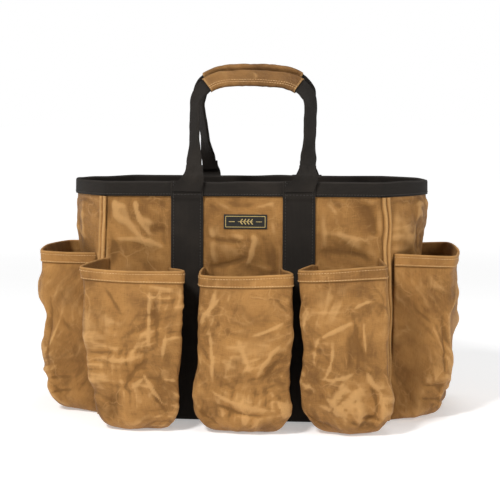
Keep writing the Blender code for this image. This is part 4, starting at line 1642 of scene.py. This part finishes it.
@dataclass(frozen=True)
class Handle:
    """A loop of webbing folded lengthwise, twisted on its legs, with a canvas sleeve round its crown.

    Feet and shoulders are how far right of each strap's middle the two legs start and end. Drops are how far each
    shoulder is below the crown, and rise is the crown's height over the hinge. side is -1 at the front and 1 at
    the back.
    """

    name: str
    body: Body
    side: int
    feet: tuple[float, float]
    shoulders: tuple[float, float]
    drops: tuple[float, float]
    rise: float
    seed: int
    folded_width: float = WEBBING_WIDTH / 2
    folded_wall: float = 3.8 * MM
    hinge_rise: float = 4.2 * MM
    leg_start: float = 1.6 * MM
    twist: float = math.radians(50)
    shoulder_radius: float = 38 * MM
    crown_spacing: float = 17 * MM
    grip_length: float = 115 * MM
    sleeve_deep: float = 5.9 * MM
    sleeve_high: float = 20.9 * MM
    sleeve_step: float = 1.1 * MM
    sleeve_ring: float = 12 * MM
    sleeve_stitch_rows: tuple[float, float] = (-7.4 * MM, -4.4 * MM)
    slit: float = 0.16 * MM
    groove_depth: float = 3.5 * MM
    nose: float = 0.6 * MM
    loop_rows: int = 220
    foot_rows: int = 46
    foot_span: tuple[float, float] = (-17 * MM, 15 * MM)
    foot_clearance: float = 1.6 * MM
    foot_width: float = 35 * MM
    foot_wall: float = 1.9 * MM

    @property
    def hinge(self) -> Array:
        """The middle of the line that the handle folds about."""
        y = abs(float(SHAPE.front_y(SHAPE.strap_centre, SHAPE.height))) + float(SHAPE.strap_offset(SHAPE.height))
        return np.array([0.0, self.side * y, SHAPE.height + self.hinge_rise])

    @property
    def axes(self) -> tuple[Array, Array, float]:
        """The plane that the loop leans in.

        Returns:
            Up the plane, out of it, and its length from the hinge to the crown.
        """
        lean = abs(self.hinge[1]) - self.crown_spacing / 2
        length = math.hypot(lean, self.rise)
        up = np.array([0.0, -self.side * lean, self.rise]) / length
        return up, np.array([0.0, up[2], -up[1]]), length

    def outline(self) -> Array:
        """The loop in its plane: two legs and a crown, with each shoulder rounded as a parabola.

        Returns:
            Its points, sideways and up the plane, (n, 2).
        """
        _, _, length = self.axes
        straps = (-SHAPE.strap_centre, SHAPE.strap_centre)
        feet = [np.array([s + f, self.leg_start]) for s, f in zip(straps, self.feet)]
        tops = [np.array([s + f, length - d]) for s, f, d in zip(straps, self.shoulders, self.drops)]
        path = [feet[0][None]]
        for before, corner, after in ((feet[0], tops[0], tops[1]), (tops[0], tops[1], feet[1])):
            into, out = corner - before, after - corner
            turn = abs(math.atan2(into[0] * out[1] - into[1] * out[0], into @ out))
            cut = self.shoulder_radius * math.tan(turn / 2)
            start, end = corner - into / np.linalg.norm(into) * cut, corner + out / np.linalg.norm(out) * cut
            t = np.linspace(0, 1, 24)[:, None]
            path.append((1 - t) ** 2 * start + 2 * t * (1 - t) * corner + t**2 * end)
        return np.concatenate([*path, feet[1][None]])

    def frame(self, share: Array, twisted: bool = True) -> tuple[Array, Array, Array]:
        """Points along the loop with the section's two directions there.

        Args:
            share: how far along the loop each point is, 0 to 1.
            twisted: turns the section about the path along the middle of each leg.

        Returns:
            Middles, directions across the webbing, and directions out of it, each (n, 3).
        """
        up, flat, _ = self.axes
        path = self.outline()
        run = lengths_along(path[None], 1)[0]
        at = share * run[-1]
        point = sampled(at, run, path)
        near = 3 * MM
        ahead = unit(sampled(at + near, run, path) - sampled(at - near, run, path))
        tops = [s + f for s, f in zip((-SHAPE.strap_centre, SHAPE.strap_centre), self.shoulders)]
        reach = (point[:, 0] - sum(tops) / 2) / ((tops[1] - tops[0]) / 2)
        lift = sum(self.drops) / 2 * np.clip(1 - reach**2, 0, None)
        middle = self.hinge + ACROSS * point[:, :1] + up * (point[:, 1:] + lift[:, None])
        leg = (1 - self.grip_length / run[-1]) / 2
        up_leg = np.clip(np.minimum(share, 1 - share) / leg, 0, 1)
        turned = self.twist * ease(0.04, 0.36, up_leg) * ease(1.0, 0.72, up_leg)
        angle = (turned if twisted else 0 * share)[:, None]
        across = ACROSS * -ahead[:, 1:] + up * ahead[:, :1]
        cosine, sine = np.cos(angle), np.sin(angle)
        return middle, across * cosine + flat * sine, flat * cosine - across * sine

    def folded_section(self) -> Array:
        """Two layers of webbing joined by a fold at one edge, with a slit between them at the other.

        Returns:
            The closed section, (n, 2).
        """
        half, wall, slit = self.folded_width / 2, self.folded_wall / 2, self.slit
        turn = np.linspace(np.pi / 2, 3 * np.pi / 2, 8)
        fold = stack(-half + wall + wall * np.cos(turn), wall * np.sin(turn))
        run = np.linspace(-half + wall, half - self.nose, 12)[1:]
        nose = np.linspace(-np.pi / 2, np.pi / 2, 5)
        lower = stack(run, -wall)
        tip = (wall - slit) / 2
        low_nose = stack(half - self.nose + self.nose * np.cos(nose), -slit - tip + tip * np.sin(nose))[1:]
        groove = stack(half - self.groove_depth, np.array([-slit, slit]))
        high_nose = low_nose[::-1] * [1, -1]
        return np.concatenate([fold, lower, low_nose, groove, high_nose, stack(run[::-1], wall)])

    def loop(self, finishes: Finishes) -> bpy.types.Object:
        """The folded webbing from foot to foot, whose width ripples a little along it.

        Args:
            finishes: the shared finishes.

        Returns:
            The piece.
        """
        way = np.linspace(0, 1, self.loop_rows)
        middle, across, out = self.frame(way)
        section = self.folded_section()
        ripple = 1 + 0.03 * np.sin(way * 61 + self.seed) + 0.02 * np.sin(way * 137)
        points = swept(middle, across, out, section[None] * stack(ripple, 0 * ripple + 1)[:, None])
        return tube(f"{self.name}_handle_loop", points, finishes.webbing)

    def foot(self, index: int, finishes: Finishes) -> bpy.types.Object:
        """The webbing between a strap and a leg: it lies on the strap and gathers in as it passes the rim.

        Its width eases from nearly the strap's to the leg's, its wall thickens as the sides fold in, and a
        groove opens down its middle.

        Args:
            index: 0 for the left foot and 1 for the right one.
            finishes: the shared finishes.

        Returns:
            The piece, which spans the hinge and is tied to no body.
        """
        up, flat, _ = self.axes
        low, high = self.foot_span
        h = np.linspace(low, high, self.foot_rows)
        strap = (-SHAPE.strap_centre, SHAPE.strap_centre)[index]
        gather = ease(low + 3 * MM, high - 4 * MM, h)
        x = strap + self.feet[index] * ease(low, 4 * MM, h)
        outward = np.array([0, float(self.side), 0])
        clear = WEBBING_WALL / 2 + self.foot_clearance
        rising = np.where(h > self.leg_start, h - self.leg_start, 0)[:, None] * up
        base = self.hinge + np.array([0, 0, 1.0]) * np.minimum(h, self.leg_start)[:, None]
        middle = base + rising + outward * (clear * ease(7 * MM, -3 * MM, h))[:, None]
        middle[:, 0] = x
        box = rounded_box(1.0, 1.0, 0.12, 22, 4)
        width = blend(self.foot_width, self.folded_width + 0.8 * MM, gather)[:, None]
        wall = blend(self.foot_wall, self.folded_wall + 0.9 * MM, gather)[:, None]
        a, b = box[None, :, 0] * width, box[None, :, 1] * wall
        pleat = 1.5 * MM * gather[:, None] * np.exp(-((a - 1.5 * MM) / (2.4 * MM)) ** 2)
        fan = 0.5 * MM * np.sin(a / (2.6 * MM) + index) * (gather * (1 - gather) * 4)[:, None]
        front = np.sign(b) == (1 if self.side > 0 else -1)
        b = b + np.where(front, (fan - pleat) * self.side, fan * 0.3 * self.side)
        across = np.tile(ACROSS, (len(h), 1))
        out = unit(outward * self.side * (1 - gather)[:, None] + flat * gather[:, None])
        points = swept(middle, across, out, np.stack([a, b], -1))
        side_name = ("left", "right")[index]
        piece = tube(f"{self.name}_{side_name}_handle_foot", points[:, ::-1], finishes.webbing)
        hinge = self.hinge
        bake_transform(piece)
        log.info("%s: %d faces between bodies", piece.name, len(piece.data.polygons))
        return piece

    def sleeve(self, finishes: Finishes) -> None:
        """The canvas sleeve: a flattened tube along the crown with raw ends, and two rows of stitches a side.

        Args:
            finishes: the shared finishes.
        """
        run = lengths_along(self.outline()[None], 1)[0, -1]
        share = self.grip_length / run
        way = lines_between(0, 1, self.sleeve_step / self.grip_length)
        middle, across, out = self.frame((1 - share) / 2 + way * share, twisted=False)
        section = rounded_box(self.sleeve_high, self.sleeve_deep, 2.6 * MM, 18, 6)
        points = swept(middle, across, out, section)
        outward = unit(across[:, None] * section[None, :, :1] * 0.3 + out[:, None] * section[None, :, 1:])
        angle = np.linspace(0, 2 * np.pi, len(section), endpoint=False)[None]
        along = way[:, None] * self.grip_length
        around_a, around_b = self.sleeve_ring * np.cos(angle), self.sleeve_ring * np.sin(angle)
        lift = Crumple(self.seed, 0.55 * MM, 19 * MM, 2, 3, 0.5).lift(around_a + along * 0.2, around_b + along)
        lift = lift * ease(0, 0.05, way)[:, None] * ease(1, 0.95, way)[:, None]
        points = points + outward * lift[..., None]
        # Raised parts of the sleeve get the pale crease colour and sunken parts the dark one: painted highlight
        # and painted shade. Its ends are marked as full ridges.
        crease = np.clip(lift / (1.2 * MM), -1, 1)
        crease[:2], crease[-2:] = 1, 1
        grid = ClothGrid.measured(points, crease)
        piece = grid.build(f"{self.name}_grip_canvas", CANVAS_WALL, finishes.grip_canvas_painted_shade, closed=True)
        place(piece, self.body, Slot.CANVAS, f"{self.name}_grip_sleeve")
        runs = []
        for face in (-1, 1):
            for low in self.sleeve_stitch_rows:
                depth = face * (self.sleeve_deep / 2 + CANVAS_WALL / 2)
                runs.append((middle + across * low + out * depth, out * face))
        thread = stitches(f"{self.name}_grip_stitches", runs, finishes.tan_thread, 3.2 * MM)
        place(thread, self.body, Slot.CANVAS)

    def build(self, finishes: Finishes) -> None:
        """Makes the loop, its two feet and its sleeve.

        Args:
            finishes: the shared finishes.
        """
        place(self.loop(finishes), self.body, Slot.WEBBING, f"{self.name}_handle_webbing")
        for index in (0, 1):
            self.foot(index, finishes)
        self.sleeve(finishes)


FRONT_HANDLE = Handle(name="front", body=Body.FRONT_HANDLE, side=-1, feet=(0.008, 0.0095),
                      shoulders=(0.000, 0.011), drops=(0.006, 0.011), rise=0.1174, seed=71)
BACK_HANDLE = Handle(name="back", body=Body.BACK_HANDLE, side=1, feet=(0.0055, 0.001),
                     shoulders=(-0.003, 0.008), drops=(0.007, 0.008), rise=0.1254, seed=72)


# ---------------------------------------------------------------- studio


@dataclass(frozen=True)
class SoftLight:
    """A square soft light that faces the bag."""

    name: str
    place: tuple[float, float, float]
    size: float
    power: float

    def build(self) -> None:
        """Makes the light, aimed at the middle of the bag."""
        data = bpy.data.lights.new(self.name, "AREA")
        data.size, data.energy = self.size, self.power
        lamp = bpy.data.objects.new(self.name, data)
        lamp.location = self.place
        towards = np.array([0, 0, 0.18]) - np.array(self.place)
        flat = math.hypot(towards[0], towards[1])
        heading = math.atan2(towards[1], towards[0])
        lamp.rotation_euler = (math.atan2(flat, -towards[2]), 0, heading - math.pi / 2)
        bpy.context.scene.collection.objects.link(lamp)


@dataclass(frozen=True)
class Studio:
    """A pale floor, a white surround, soft lights, and the camera in front and a little to the right."""

    camera_place: tuple[float, float, float] = (0.1497, -1.4925, 0.353)
    camera_dip: float = 0.1065
    camera_turn: float = 0.1
    lens: float = 36 * 1210 / 500
    surround: float = 0.27
    floor_glow: float = 0.78
    floor_reach: float = 60
    floor_lines: int = 13
    lights: tuple[SoftLight, ...] = (
        SoftLight("key", (-0.85, -1.65, 1.75), 0.42, 46.0),
        SoftLight("fill", (1.7, -1.1, 0.9), 0.7, 12.0),
        SoftLight("top", (0.2, 0.3, 2.2), 0.8, 13.0),
    )

    def build(self) -> None:
        """Makes the floor, the surround, the lights and the camera."""
        scene = bpy.context.scene
        scene.view_settings.view_transform = "Standard"
        n = Nodes("pale floor")
        place_on = n.add("ShaderNodeTexCoord", {}, {}, "Object")
        grain = n.noise(place_on, 5, 3)
        n.finish(n.mix(grain, (0.84, 0.84, 0.84, 1), (0.88, 0.88, 0.88, 1)), 0.9, grain, 0.1 * MM, 0.0, 0.1)
        far = n.add("ShaderNodeVectorMath", {"operation": "LENGTH"}, {0: place_on}, 1)
        glow = n.mix(far.over(0.8, 3.0), (0.45, 0.45, 0.45, 1), (1, 1, 1, 1))
        n.tree.links.new(glow.socket, n.shader.inputs["Emission Color"])
        n.shader.inputs["Emission Strength"].default_value = self.floor_glow
        line = np.linspace(-self.floor_reach, self.floor_reach, self.floor_lines)
        a, b = np.meshgrid(line, line)
        faces = grid_faces(self.floor_lines, self.floor_lines)
        floor = mesh_object("floor", stack(a, b, 0 * a), faces, n.material)
        world = bpy.data.worlds.new("surround")
        world.use_nodes = True
        tree = world.node_tree
        seen = tree.nodes.new("ShaderNodeLightPath")
        power = tree.nodes.new("ShaderNodeMapRange")
        power.inputs["To Min"].default_value, power.inputs["To Max"].default_value = self.surround, 1.0
        tree.links.new(seen.outputs["Is Camera Ray"], power.inputs["Value"])
        tree.links.new(power.outputs[0], tree.nodes["Background"].inputs["Strength"])
        tree.nodes["Background"].inputs["Color"].default_value = (1, 1, 1, 1)
        scene.world = world
        for light in self.lights:
            light.build()
        data = bpy.data.cameras.new("camera")
        data.sensor_width, data.lens, data.clip_start = 36, self.lens, 0.02
        camera = bpy.data.objects.new("camera", data)
        camera.location = self.camera_place
        camera.rotation_euler = (math.pi / 2 - self.camera_dip, 0, self.camera_turn)
        scene.collection.objects.link(camera)
        scene.camera = camera


def write_sizes() -> None:
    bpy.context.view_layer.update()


def main() -> None:
    """Builds the bag from its body outwards, then the studio."""
    logging.basicConfig(level=logging.INFO, format="%(message)s")
    finishes = Finishes()
    Walls().build(finishes)
    RimBinding().build(finishes)
    CornerSeams().build(finishes)
    SlingStraps().build(finishes)
    WovenLabel().build(finishes)
    for cut in (LEFT_CUT, MIDDLE_CUT, RIGHT_CUT, SIDE_CUT):
        Pocket(cut).build(finishes)
    for handle in (FRONT_HANDLE, BACK_HANDLE):
        handle.build(finishes)
    Studio().build()
    write_sizes()


if __name__ == "__main__":
    main()
